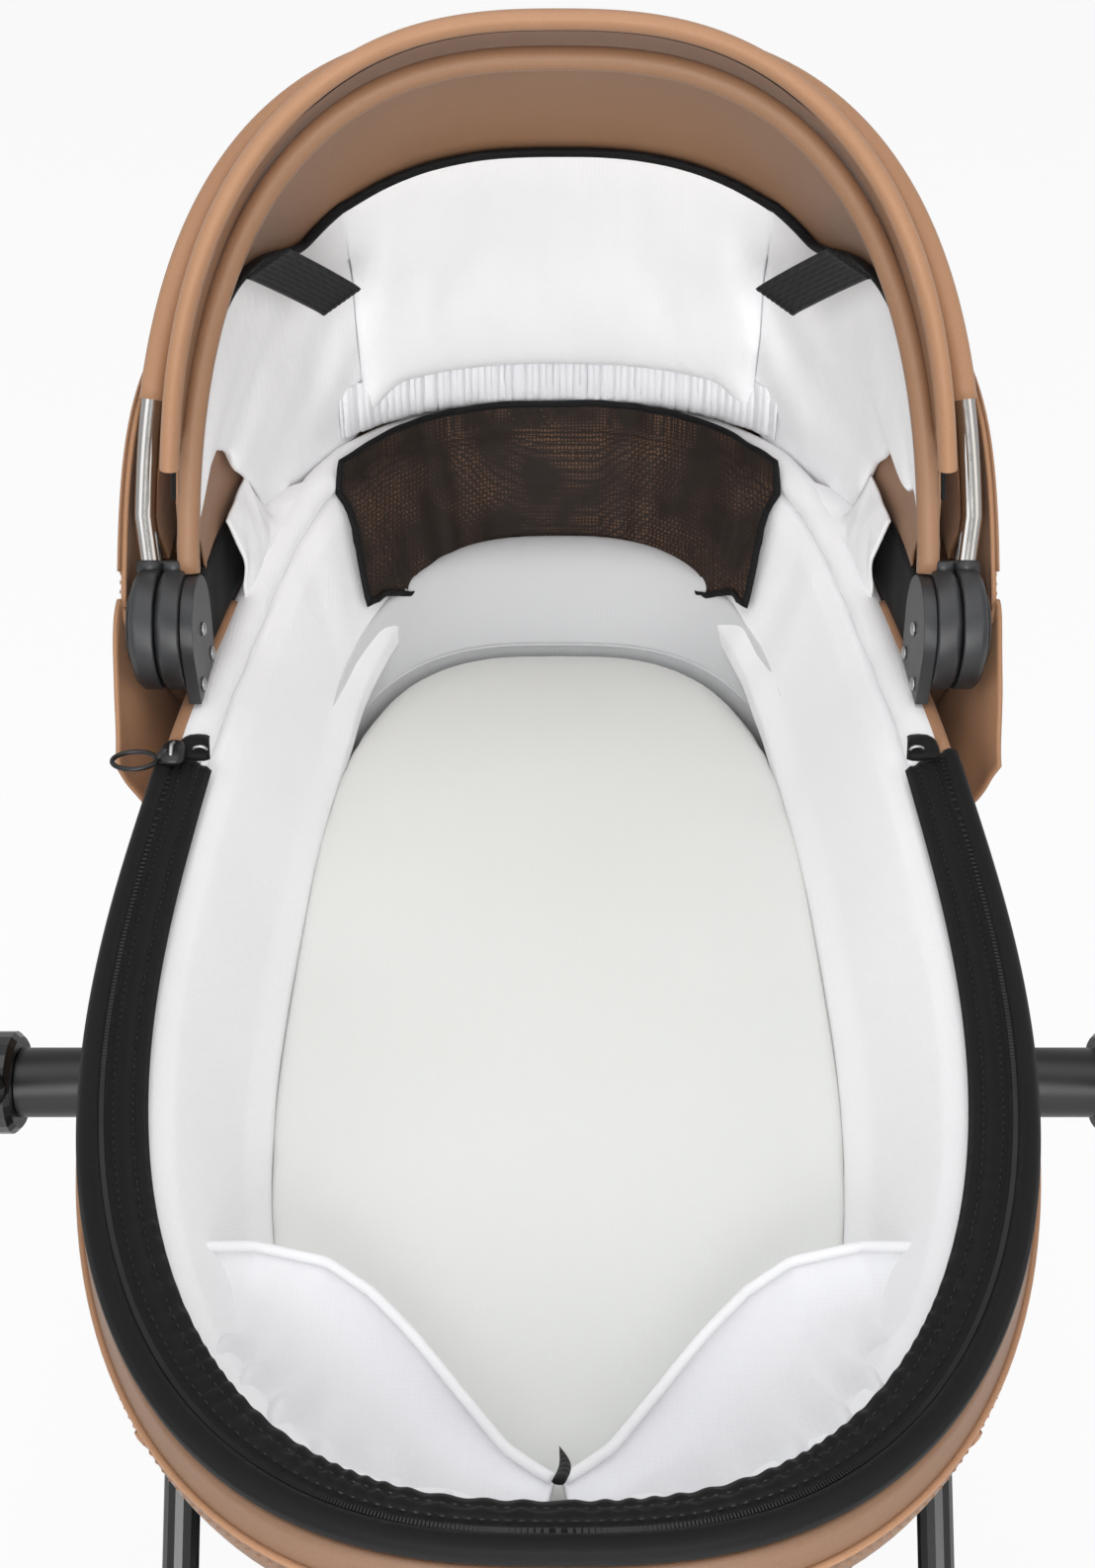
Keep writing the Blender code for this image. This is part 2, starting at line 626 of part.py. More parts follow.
def forks_and_front_wheels(black, rim_mat, tyre_mat):
    for side in ("left", "right"):
        sign = 1 if side == "right" else -1
        x0 = sign * CASTER_X
        wheel_y = CASTER_Y - TRAIL
        r = FRONT_WHEEL_R
        crown = 2 * r + 0.005
        top = 2 * r + 0.016 + CASTER_H - 0.004
        half = FRONT_WHEEL_T / 2 + 0.004
        stem = cylinder((x0, CASTER_Y, crown + 0.004), (x0, CASTER_Y, top), PIN_R, 16)
        bridge = rounded_box((x0 - half - 0.006, CASTER_Y - 0.030, crown),
            (x0 + half + 0.006, CASTER_Y + 0.020,
                             crown + 0.0107), 0.002, 1)
        prongs = []
        for k in (-1, 1):
            xs = sorted((x0 + k * half, x0 + k * (half + 0.006)))
            profile = [(CASTER_Y - 0.028, crown + 0.005), (CASTER_Y + 0.016, crown + 0.005),
                       (wheel_y + 0.012, r - 0.004), (wheel_y + 0.006, r - 0.013),
                       (wheel_y - 0.006, r - 0.013),
                       (wheel_y - 0.012, r - 0.004)]
            prongs.append(extrude_profile_x(profile, xs[0], xs[1]))
        axle = cylinder((x0 - half - 0.003, wheel_y, r), (x0 + half + 0.003, wheel_y, r), 0.006, 16)
        combine(f"caster_fork_{side}", [bridge, stem, *prongs, axle], black, pivot=(x0, CASTER_Y, 0))
        wheel(f"front_wheel_{side}", (x0, wheel_y, r), r, FRONT_WHEEL_T, 0.006 + RUN, 0.016, 5, rim_mat)
        tyre(f"front_tyre_{side}", (x0, wheel_y, r), r, FRONT_WHEEL_T, tyre_mat)


def wheel(name, centre, radius, width, bore, hub_r, spokes, mat):
    """A moulded wheel: bored hub, tapered spokes and a channel that the tyre sits in."""
    seat = radius - 0.026
    half = width / 2
    rim = [(-half * 0.75, seat - 0.008), (half * 0.75, seat - 0.008), (half * 0.75, seat),
           (0, seat - 0.003), (-half * 0.75, seat)]
    hub = [(-half, bore), (half, bore), (half, hub_r - 0.002), (half - 0.002, hub_r), (-half + 0.002, hub_r),
           (-half, hub_r - 0.002)]
    bodies = [lathe_x(hub, centre, 14), lathe_x(rim, centre, 32)]
    c = Vector(centre)
    for i in range(spokes):
        a = 2 * math.pi * i / spokes + math.pi / 2
        out = Vector((0, math.cos(a), math.sin(a)))
        across = Vector((0, -math.sin(a), math.cos(a)))
        rings = []
        for dist, wide, thick in ((hub_r - 0.004, hub_r * 0.45, half * 0.62),
            (seat * 0.5, 0.006, half * 0.42),
                                  (seat - 0.0055, 0.010, half * 0.55)):
            p = c + out * dist
            x_dir = Vector((thick, 0, 0))
            rings.append([p - across * wide - x_dir, p + across * wide - x_dir, p + across * wide + x_dir,
                          p - across * wide + x_dir])
        bodies.append(grid_body(rings))
    combine(name, bodies, mat, pivot=centre)


def tyre(name, centre, radius, width, mat):
    seat = radius - 0.026 + GAP
    half = width / 2
    section = [(-half * 0.70, seat), (0, seat - 0.0028), (half * 0.70, seat), (half, seat + 0.010),
               (half * 0.80, radius - 0.005), (half * 0.30, radius), (-half * 0.30, radius),
               (-half * 0.80, radius - 0.005), (-half, seat + 0.010)]
    add_object(name, lathe_x(section, centre, 32), mat, pivot=centre)


def rear_frame(tube_mat, steel, black, rim_mat, tyre_mat):
    target = (REAR_Y, REAR_WHEEL_R)
    d, length = leg_direction(*target)
    for side in ("left", "right"):
        sign = 1 if side == "right" else -1
        bore = 0.012 + RUN
        x_in, x_out = HUB_IN_X - GAP - 0.0205, HUB_IN_X - GAP
        ring = [(x_in, bore), (x_out, bore), (x_out, 0.026), (x_out - 0.002, 0.028), (x_in + 0.002, 0.028),
                (x_in, 0.026)]
        knuckle = lathe_x([(sign * x, r) for x, r in ring], (0, HUB_Y, HUB_Z), 20)
        x = sign * (x_in + x_out) / 2
        start = Vector((x, HUB_Y, HUB_Z)) + d * 0.020
        finish = Vector((x, HUB_Y, HUB_Z)) + d * (length - AXLE_R - GAP)
        leg = tube([start, finish], 0.0098, 14)
        combine(f"rear_leg_{side}", [knuckle, leg], tube_mat, pivot=(0, HUB_Y, HUB_Z))
    shoulder = REAR_WHEEL_X - REAR_WHEEL_T / 2 - GAP
    end = REAR_WHEEL_X + REAR_WHEEL_T / 2 + GAP
    profile = [(-end - 0.005, 0.010), (-end, 0.014), (-end, PIN_R), (-shoulder, PIN_R), (-shoulder, AXLE_R),
               (shoulder, AXLE_R), (shoulder, PIN_R), (end, PIN_R), (end, 0.014), (end + 0.005, 0.010)]
    add_object("rear_axle", lathe_x(profile, (0, REAR_Y, REAR_WHEEL_R), 24, bored=False), steel)
    for side in ("left", "right"):
        x = mirrored(side, REAR_WHEEL_X)
        centre = (x, REAR_Y, REAR_WHEEL_R)
        wheel(f"rear_wheel_{side}", centre, REAR_WHEEL_R, REAR_WHEEL_T, PIN_R + RUN, 0.022, 5, rim_mat)
        tyre(f"rear_tyre_{side}", centre, REAR_WHEEL_R, REAR_WHEEL_T, tyre_mat)
    sleeve = lathe_x([(-0.035, AXLE_R + RUN), (0.035, AXLE_R + RUN), (0.035, 0.017), (-0.035, 0.017)],
                     (0, REAR_Y, REAR_WHEEL_R), 20)
    plate = rounded_box((-0.030, REAR_Y - 0.075, REAR_WHEEL_R + 0.004), (0.030, REAR_Y - 0.013,
                        REAR_WHEEL_R + 0.012), 0.002, 1)
    combine("brake_pedal", [sleeve, plate], black, pivot=(0, REAR_Y, REAR_WHEEL_R))


def handle_point(along, x):
    a = math.radians(HANDLE_RISE)
    return Vector((x, HUB_Y - along * math.cos(a), HUB_Z + along * math.sin(a)))


def handle(tube_mat, black, slide_mat, grip_mat):
    for side in ("left", "right"):
        sign = 1 if side == "right" else -1
        x_in = STUB_OUT_X + GAP
        x_out = x_in + KNUCKLE_T
        edge = 0.003
        bore = PIN_R + RUN
        ring = [(x_in, bore), (x_out, bore), (x_out, KNUCKLE_R - edge), (x_out - edge, KNUCKLE_R),
                (x_in + edge, KNUCKLE_R), (x_in, KNUCKLE_R - edge)]
        knuckle = lathe_x([(sign * x, r) for x, r in ring], (0, HUB_Y, HUB_Z), 24)
        x = sign * ARM_X
        arm = cylinder(handle_point(0.018, x), handle_point(ARM_LEN, x), ARM_R * 0.95, 16)
        hollow = cylinder(handle_point(0.22, x), handle_point(ARM_LEN + 0.02, x), SLIDE_R + RUN, 16)
        combine(f"handle_arm_{side}", [knuckle, arm, hollow], tube_mat, ["UNION", "DIFFERENCE"],
                pivot=(0, HUB_Y, HUB_Z))
        collar = [(SLIDE_R + RUN, 0), (0.019, 0), (0.019, 0.030), (0.016, 0.034), (SLIDE_R + RUN, 0.034)]
        turned = lathe_z(collar, (0, 0, 0), 16)
        tilt = math.radians(90 - HANDLE_RISE)
        place = Matrix.Translation(handle_point(ARM_LEN + GAP, x)) @ Matrix.Rotation(tilt, 4, "X")
        bmesh.ops.transform(turned, matrix=place, verts=turned.verts)
        add_object(f"height_collar_{side}", turned, black)
    points = []
    bend_start = HANDLE_LEN - HANDLE_BEND
    points.append(handle_point(ARM_LEN - 0.10, -ARM_X))
    for i in range(7):
        a = math.pi / 2 * i / 6
        points.append(handle_point(bend_start + HANDLE_BEND * math.sin(a),
            -ARM_X + HANDLE_BEND * (1 - math.cos(a))))
    points += [Vector((-p.x, p.y, p.z)) for p in reversed(points)]
    add_object("handle_bar", tube(points, SLIDE_R, 16), slide_mat)
    centre = handle_point(HANDLE_LEN, 0)
    r0 = SLIDE_R + RUN
    profile = [(-GRIP_HALF, r0), (GRIP_HALF, r0), (GRIP_HALF, GRIP_R - 0.003), (GRIP_HALF - 0.004, GRIP_R),
               (-GRIP_HALF + 0.004, GRIP_R), (-GRIP_HALF, GRIP_R - 0.003)]
    add_object("handle_grip", lathe_x(profile, tuple(centre), 16), grip_mat)


def basket(rail_mat, cloth_mat):
    """A hanging shopping basket on a wire rail between the front legs."""
    cross = cross_point()
    half_w = cross.x - LEG_R - 0.004 - RAIL_R
    front_y = cross.y - CROSS_R - 2 * GAP - RAIL_R
    back_y = COT_Y - BASKET_BACK
    mid_y = (front_y + back_y) / 2
    half_l = (front_y - back_y) / 2
    rail = []
    for i in range(32):
        t = 2 * math.pi * i / 32
        c, s = math.cos(t), math.sin(t)
        point = Vector((half_w * math.copysign(abs(c) ** 0.45, c),
            mid_y + half_l * math.copysign(abs(s) ** 0.45, s),
                        cross.z))
        out = Vector((c * half_l, s * half_w, 0)).normalized()
        rail.append([point + out * (RAIL_R * math.cos(b)) + Vector((0, 0, RAIL_R * math.sin(b)))
                     for b in [2 * math.pi * k / 6 for k in range(6)]])
    add_object("basket_rail", grid_body(rail, close_ends=True), rail_mat)
    top = cross.z - RAIL_R * math.sin(math.radians(60)) - GAP
    rings = []
    for drop, inset in ((1.0, 0.030), (0.96, 0.022), (0.5, 0.006), (0.12, 0.0), (0.0, -0.003)):
        rings.append(egg(half_w - inset, half_l - inset, half_l - inset, 4.0, top - BASKET_DEPTH * drop,
            32, mid_y))
    for drop, inset in ((0.0, 0.0), (0.12, BASKET_T), (0.5, 0.006 + BASKET_T), (0.96, 0.022 + BASKET_T)):
        z = top - BASKET_DEPTH * drop + (0.0035 if drop == 0.96 else 0.0)
        rings.append(egg(half_w - inset, half_l - inset, half_l - inset, 4.0, z, 32, mid_y))
    add_object("basket", grid_body(rings), cloth_mat)


def build():
    clear_scene()
    brown = material("brown_leatherette", (0.36, 0.20, 0.11), 0.55)
    white = material("white_cotton", (0.85, 0.85, 0.85), 0.9)
    grey = material("pale_jersey", (0.78, 0.79, 0.77), 0.9)
    black_cloth = material("black_webbing", (0.02, 0.02, 0.02), 0.8)
    black = material("black_plastic", (0.025, 0.026, 0.028), 0.5)
    chrome = material("chrome_tube", (0.75, 0.75, 0.75), 0.15, 1.0)
    frame_black = material("black_painted_tube", (0.02, 0.02, 0.02), 0.35, 0.3)
    steel = material("zinc_steel", (0.6, 0.6, 0.6), 0.3, 1.0)
    tyre_mat = material("tyre_rubber", (0.02, 0.02, 0.02), 0.85)
    net = material("black_net", (0.03, 0.025, 0.02), 0.9)
    board = material("base_board", (0.30, 0.22, 0.14), 0.8)

    cot_shell(brown)
    rim_band(black_cloth)
    liner(white)
    base_board(board)
    mattress(grey)
    bolster(grey)
    mesh_window(net)
    foot_flaps(white)
    zip_slider(black, black)
    cot_crossbar(black)
    hood_panels(brown, brown)
    hood_lining(white, black_cloth)
    hood_hubs(black, steel, chrome)

    side_hubs(black, steel)
    front_frame(frame_black, black)
    front_cross(frame_black)
    basket(frame_black, black_cloth)
    forks_and_front_wheels(black, black, tyre_mat)
    rear_frame(frame_black, steel, black, black, tyre_mat)
    handle(frame_black, black, frame_black, brown)


build()
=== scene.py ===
import math

import bmesh
import bpy
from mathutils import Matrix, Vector, noise


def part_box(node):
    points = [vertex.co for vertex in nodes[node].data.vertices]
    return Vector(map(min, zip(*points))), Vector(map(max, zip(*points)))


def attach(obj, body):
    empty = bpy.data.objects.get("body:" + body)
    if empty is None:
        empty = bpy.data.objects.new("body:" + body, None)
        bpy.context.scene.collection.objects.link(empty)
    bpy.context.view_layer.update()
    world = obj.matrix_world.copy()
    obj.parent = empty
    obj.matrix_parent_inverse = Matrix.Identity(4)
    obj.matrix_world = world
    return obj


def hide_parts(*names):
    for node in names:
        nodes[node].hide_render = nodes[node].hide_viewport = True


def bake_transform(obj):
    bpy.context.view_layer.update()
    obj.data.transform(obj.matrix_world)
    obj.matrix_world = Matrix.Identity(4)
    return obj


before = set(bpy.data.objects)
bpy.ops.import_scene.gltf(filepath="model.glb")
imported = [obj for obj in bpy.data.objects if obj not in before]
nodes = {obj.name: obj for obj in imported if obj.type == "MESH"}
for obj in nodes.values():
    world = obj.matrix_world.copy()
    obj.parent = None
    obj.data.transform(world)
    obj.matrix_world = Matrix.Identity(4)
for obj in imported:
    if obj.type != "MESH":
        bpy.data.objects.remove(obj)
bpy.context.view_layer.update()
print("frame loaded:", len(nodes), "nodes")

# Places read from the frame; the hood turns about the axis of its drums
drumLow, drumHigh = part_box("hood_drum_inner_right")
hoodY = (drumLow.y + drumHigh.y) / 2
hoodZ = (drumLow.z + drumHigh.z) / 2
bandLow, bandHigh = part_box("rim_band")
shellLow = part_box("cot_shell")[0]
boardLow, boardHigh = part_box("base_board")
mattressLow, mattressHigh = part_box("mattress")
cotY = hoodY - 0.12                       # middle of the cot, ahead of the hood's axis
rimZ = bandLow.z + 0.006                  # the band hangs 6 mm over the tub's edge
headRise = bandHigh.z - rimZ - 0.006      # the rim climbs under the hood


def colour(hexText):
    # sRGB hex to the linear values that the shader wants
    channels = [int(hexText[i:i + 2], 16) / 255 for i in (1, 3, 5)]
    return tuple(c / 12.92 if c <= 0.04045 else ((c + 0.055) / 1.055) ** 2.4 for c in channels) + (1.0,)


def addNode(material, kind, settings=None, inputs=None):
    # settings are the node's own options, inputs are values or sockets to join
    tree = material.node_tree
    node = tree.nodes.new(kind)
    for key, value in (settings or {}).items():
        setattr(node, key, value)
    for key, value in (inputs or {}).items():
        if isinstance(value, bpy.types.NodeSocket):
            tree.links.new(value, node.inputs[key])
        else:
            node.inputs[key].default_value = value
    return node


def newMaterial(name, shader):
    # the material, its surface shader, and the object's own coordinates for the patterns
    material = bpy.data.materials.new(name)
    material.use_nodes = True
    surface = material.node_tree.nodes["Principled BSDF"]
    for key, value in shader.items():
        surface.inputs[key].default_value = value
    return material, surface, addNode(material, "ShaderNodeTexCoord").outputs["Object"]


def join(material, socket, target):
    material.node_tree.links.new(socket, target)


def perMetre(millimetres):
    # pattern repeats per metre for a feature of this real size
    return 1000.0 / millimetres


def blendColours(material, factor, first, second):
    mix = addNode(material, "ShaderNodeMix", {"data_type": "RGBA"}, {"Factor": factor, 6: first, 7: second})
    return mix.outputs[2]


def spread(material, socket, low, high, fromLow=0.0, fromHigh=1.0):
    node = addNode(material, "ShaderNodeMapRange", None,
                   {"Value": socket, "From Min": fromLow, "From Max": fromHigh, "To Min": low, "To Max": high})
    return node.outputs["Result"]


def calculate(material, operation, *values, clamp=False):
    node = addNode(material, "ShaderNodeMath", {"operation": operation, "use_clamp": clamp}, dict(enumerate(values)))
    return node.outputs[0]


def noiseAt(material, spot, scale, detail=2.0, distortion=0.0):
    node = addNode(material, "ShaderNodeTexNoise", None,
                   {"Vector": spot, "Scale": scale, "Detail": detail, "Distortion": distortion})
    return node.outputs["Fac"]


def cellsAt(material, spot, millimetres, feature="F1", **inputs):
    node = addNode(material, "ShaderNodeTexVoronoi", {"feature": feature},
                   {"Vector": spot, "Scale": perMetre(millimetres), **inputs})
    return node.outputs["Distance"]


def wavesAt(material, spot, millimetres, distortion, axis="X", profile="SIN", detail=2.0, detailScale=1.0):
    node = addNode(material, "ShaderNodeTexWave", {"bands_direction": axis, "wave_profile": profile},
                   {"Vector": spot, "Scale": perMetre(millimetres) / 6.28, "Distortion": distortion,
                    "Detail": detail, "Detail Scale": detailScale})
    return node.outputs["Fac"]


def paint(material, surface, factor, deep, lit):
    join(material, blendColours(material, factor, colour(deep), colour(lit)), surface.inputs["Base Color"])


def roughen(material, surface, factor, low, high):
    join(material, spread(material, factor, low, high), surface.inputs["Roughness"])


def emboss(material, surface, height, strength, distance, invert=False):
    bump = addNode(material, "ShaderNodeBump", {"invert": invert},
                   {"Strength": strength, "Distance": distance, "Height": height})
    join(material, bump.outputs["Normal"], surface.inputs["Normal"])


# Coated knit, embossed with a pebble grain: soft low gloss that breaks up along each grain
def embossedLeatherette(name, lit, deep, grainMm=1.1):
    material, surface, spot = newMaterial(name, {"IOR": 1.48, "Specular IOR Level": 0.42, "Sheen Weight": 0.08})
    pebble = cellsAt(material, spot, grainMm, "SMOOTH_F1", Smoothness=0.5, Randomness=1.0)
    fine = noiseAt(material, spot, perMetre(0.7), 3.0)
    cloud = noiseAt(material, spot, 5.0)
    mottle = calculate(material, "MULTIPLY_ADD", pebble, 0.35, spread(material, cloud, -0.15, 0.85))
    paint(material, surface, mottle, deep, lit)
    roughen(material, surface, cloud, 0.44, 0.58)
    emboss(material, surface, calculate(material, "MULTIPLY_ADD", fine, 0.3, pebble), 0.16, 0.0004)
    return material


# Woven percale cotton: matt with a faint sheen, threads too fine to show, so drawn at 1.2 mm, and fine creases
def wovenCotton(name, lit, deep, creases=0.30):
    material, surface, spot = newMaterial(name, {"Roughness": 0.82, "IOR": 1.46, "Specular IOR Level": 0.28,
                                                 "Sheen Weight": 0.25, "Sheen Roughness": 0.45})
    axes = addNode(material, "ShaderNodeSeparateXYZ", None, {"Vector": spot})
    warp = wavesAt(material, spot, 1.2, 0.4)
    weftAxis = calculate(material, "ADD", axes.outputs["Y"], axes.outputs["Z"])
    weftSpot = addNode(material, "ShaderNodeCombineXYZ", None, {"X": weftAxis}).outputs[0]
    weave = calculate(material, "MULTIPLY", warp, wavesAt(material, weftSpot, 1.2, 0.4))
    crease = noiseAt(material, spot, 34.0, 5.0, 1.1)
    cloud = noiseAt(material, spot, 4.0, 1.0)
    paint(material, surface, spread(material, cloud, 0.25, 1.0, 0.3, 0.7), deep, lit)
    emboss(material, surface, calculate(material, "MULTIPLY_ADD", weave, 0.10, crease), creases, 0.0022)
    return material


# Knitted jersey over foam: soft stitch rows, slightly warm grey, no gloss
def knittedJersey(name, lit, deep):
    material, surface, spot = newMaterial(name, {"Roughness": 0.9, "IOR": 1.45, "Specular IOR Level": 0.2,
                                                 "Sheen Weight": 0.3, "Sheen Roughness": 0.5})
    rows = wavesAt(material, spot, 1.6, 0.8, "X", "TRI", 1.0, 3.0)
    pill = noiseAt(material, spot, perMetre(1.4))
    cloud = noiseAt(material, spot, 3.2)
    paint(material, surface, spread(material, cloud, 0.1, 1.0, 0.32, 0.68), deep, lit)
    emboss(material, surface, calculate(material, "MULTIPLY_ADD", pill, 0.6, rows), 0.10, 0.0004)
    return material


# Woven polyester tape: ribs along the weave at 1.6 mm, dull black, with the rib crests painted lighter grey as a
# painted highlight, broken up by random fuzz
def ribbedTape(name, lit, deep, ribMm=1.6, axis="Z"):
    material, surface, spot = newMaterial(name, {"Roughness": 0.68, "IOR": 1.5, "Specular IOR Level": 0.22,
                                                 "Sheen Weight": 0.03})
    ribs = wavesAt(material, spot, ribMm, 1.2, axis, "SIN", 2.0, 2.0)
    fuzz = noiseAt(material, spot, perMetre(1.0), 3.0)
    # painted highlight: the lighter colour lies on the rib crests, where the bump is highest, times random fuzz
    paint(material, surface, calculate(material, "MULTIPLY", ribs, fuzz), deep, lit)
    emboss(material, surface, ribs, 0.35, 0.0005)
    return material


# Knitted mosquito net, hexagons at 2.4 mm: dark threads, and holes painted with the brown of the shell behind them, a
# painted see-through light that is brighter in random patches
def knittedNet(name, thread, behind):
    material, surface, spot = newMaterial(name, {"Roughness": 0.75, "IOR": 1.5, "Specular IOR Level": 0.3})
    cell = cellsAt(material, spot, 2.4, "DISTANCE_TO_EDGE", Randomness=0.25)
    paintedGlow = noiseAt(material, spot, 26.0)
    holes = spread(material, cell, 0.0, 1.0, 0.10, 0.30)
    # painted light: the holes take the lit brown of the shell behind, brighter where the painted glow is high
    seen = calculate(material, "MULTIPLY", holes, spread(material, paintedGlow, 0.0, 1.0, 0.42, 0.72), clamp=True)
    paint(material, surface, seen, thread, behind)
    emboss(material, surface, holes, 0.3, 0.0004, invert=True)
    return material


# Injection-moulded polyamide: spark-eroded texture, satin, edges rubbed a little shinier
def mouldedPolyamide(name, lit, deep, rough=0.42):
    material, surface, spot = newMaterial(name, {"IOR": 1.53, "Specular IOR Level": 0.5})
    grit = noiseAt(material, spot, perMetre(0.8), 4.0)
    wear = noiseAt(material, spot, 30.0, 3.0)
    paint(material, surface, spread(material, wear, 0.0, 1.0, 0.35, 0.7), deep, lit)
    roughen(material, surface, wear, rough - 0.07, rough + 0.10)
    emboss(material, surface, grit, 0.12, 0.0002)
    return material


# Powder-coated aluminium tube: black coat with a slight orange peel and a clear gloss
def powderCoat(name, lit, deep):
    material, surface, spot = newMaterial(name, {"IOR": 1.5, "Coat Weight": 0.35, "Coat Roughness": 0.18})
    peel = noiseAt(material, spot, perMetre(1.5))
    cloud = noiseAt(material, spot, 12.0, 3.0)
    paint(material, surface, cloud, deep, lit)
    roughen(material, surface, cloud, 0.26, 0.40)
    emboss(material, surface, peel, 0.06, 0.0003)
    return material


# Polished or drawn metal: bright, with faint draw lines and a haze of fine scratches
def drawnMetal(name, tint, rough):
    material, surface, spot = newMaterial(name, {"Metallic": 1.0})
    lines = noiseAt(material, spot, perMetre(6.0), 4.0, 0.6)
    haze = noiseAt(material, spot, 22.0)
    dull = [c * 0.82 for c in colour(tint)[:3]] + [1.0]
    join(material, blendColours(material, haze, dull, colour(tint)), surface.inputs["Base Color"])
    roughen(material, surface, lines, rough * 0.7, rough * 1.5)
    emboss(material, surface, lines, 0.03, 0.0002)
    return material


# Foam rubber: dull black, fine closed cells and grey dust in the tread
def foamRubber(name, lit, deep):
    material, surface, spot = newMaterial(name, {"IOR": 1.52, "Specular IOR Level": 0.3})
    cells = cellsAt(material, spot, 1.3)
    dust = noiseAt(material, spot, 18.0, 5.0)
    paint(material, surface, spread(material, dust, 0.0, 1.0, 0.45, 0.75), deep, lit)
    roughen(material, surface, dust, 0.72, 0.9)
    emboss(material, surface, cells, 0.15, 0.0003)
    return material


hoodSkin = embossedLeatherette("embossed leatherette hood", "#AB8060", "#9A7152")
hoodInside = embossedLeatherette("embossed leatherette inside", "#9C7558", "#8C684D")
# painted shade: the tub's leatherette is a darker copy of the hood's, so that the tub, which faces the front lamp,
# stays as dark as the hood
shadedTubSkin = embossedLeatherette("embossed leatherette tub", "#84644C", "#745641")
cotton = wovenCotton("woven percale cotton", "#F5F5F6", "#ECECEE")
# painted shade: a darker copy of the same cotton, for the gathered petals and strip, stands in for shade in the
# gathers
shadedGatheredCotton = wovenCotton("gathered percale cotton", "#EEEEF0", "#E2E2E6", 0.45)
jersey = knittedJersey("knitted jersey mattress", "#E5E6E3", "#DEE0DC")
bolsterJersey = knittedJersey("knitted jersey bolster", "#D0D1D2", "#C7C8CA")
zipTape = ribbedTape("woven polyester zip tape", "#111112", "#080809")
webbing = ribbedTape("woven polyamide webbing", "#1E1E1F", "#0F0F10", 2.0, "X")
net = knittedNet("knitted net", "#241B16", "#6A4E3B")
blackMoulding = mouldedPolyamide("moulded polyamide", "#2F3032", "#1F2022")
# painted reflection: the brown tint in these near-black colours is the brown cot reflected in the glossy black,
# painted in
glossMoulding = mouldedPolyamide("polished polyamide", "#100C09", "#080504", 0.34)
blackTube = powderCoat("powder-coated aluminium", "#121212", "#090909")
brightTube = drawnMetal("polished aluminium", "#C9C6C2", 0.16)
zincSteel = drawnMetal("zinc-plated steel", "#B9BABC", 0.32)
zipEnamel = mouldedPolyamide("enamelled zinc", "#18181A", "#0D0D0E", 0.38)
tyreFoam = foamRubber("foam rubber", "#3A3937", "#1E1E1E")
boardWood = embossedLeatherette("pressed hardboard", "#8E6F4E", "#7A5C3E", 2.5)
print("materials made")


def addPiece(name, points, faces, material, body, standsFor=(), slotName=None, smooth=True):
    mesh = bpy.data.meshes.new(name)
    mesh.from_pydata([tuple(p) for p in points], [], faces)
    mesh.validate()
    shape = bmesh.new()
    shape.from_mesh(mesh)
    bmesh.ops.remove_doubles(shape, verts=shape.verts, dist=1e-6)
    bmesh.ops.recalc_face_normals(shape, faces=shape.faces)
    shape.to_mesh(mesh)
    shape.free()
    for polygon in mesh.polygons:
        polygon.use_smooth = smooth
    mesh.materials.append(material)
    piece = bpy.data.objects.new(name, mesh)
    bpy.context.scene.collection.objects.link(piece)
    # body is one name, to which the piece is attached, or a tuple of two names and two places, for which only the
    # piece's transform is baked
    if isinstance(body, tuple):
        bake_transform(piece)
    else:
        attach(piece, body)
    if standsFor:
        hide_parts(*standsFor)
    return piece


def ringFaces(ringCount, perRing, closedAlong=False):
    # quads between successive rings, and a fan on each open end
    faces = []
    last = ringCount if closedAlong else ringCount - 1
    for i in range(last):
        a, b = i * perRing, ((i + 1) % ringCount) * perRing
        for j in range(perRing):
            k = (j + 1) % perRing
            faces.append((a + j, a + k, b + k, b + j))
    if not closedAlong:
        faces.append(tuple(range(perRing - 1, -1, -1)))
        faces.append(tuple((ringCount - 1) * perRing + j for j in range(perRing)))
    return faces


def sweepPiece(name, path, upward, section, material, body, closed=False, **more):
    # section(share) gives (sideways, upward) offsets; upward(point) gives the up direction there
    count = len(path)
    points = []
    for i, p in enumerate(path):
        ahead = path[(i + 1) % count] if closed else path[min(i + 1, count - 1)]
        behind = path[i - 1] if closed else path[max(i - 1, 0)]
        along = (ahead - behind).normalized()
        up = upward(p)
        side = along.cross(up).normalized()
        up = side.cross(along).normalized()
        for sideways, rise in section(i / max(count - 1, 1)):
            points.append(p + side * sideways + up * rise)
    perRing = len(section(0.0))
    return addPiece(name, points, ringFaces(count, perRing, closed), material, body, **more)


def ovalRing(wide, tall, sides):
    angles = [2 * math.pi * k / sides for k in range(sides)]
    return [(wide * math.cos(a), tall * math.sin(a)) for a in angles]


def ovalSection(wide, tall, sides):
    return lambda share: ovalRing(wide, tall, sides)


def roundSection(radius, sides=12):
    return ovalSection(radius, radius, sides)


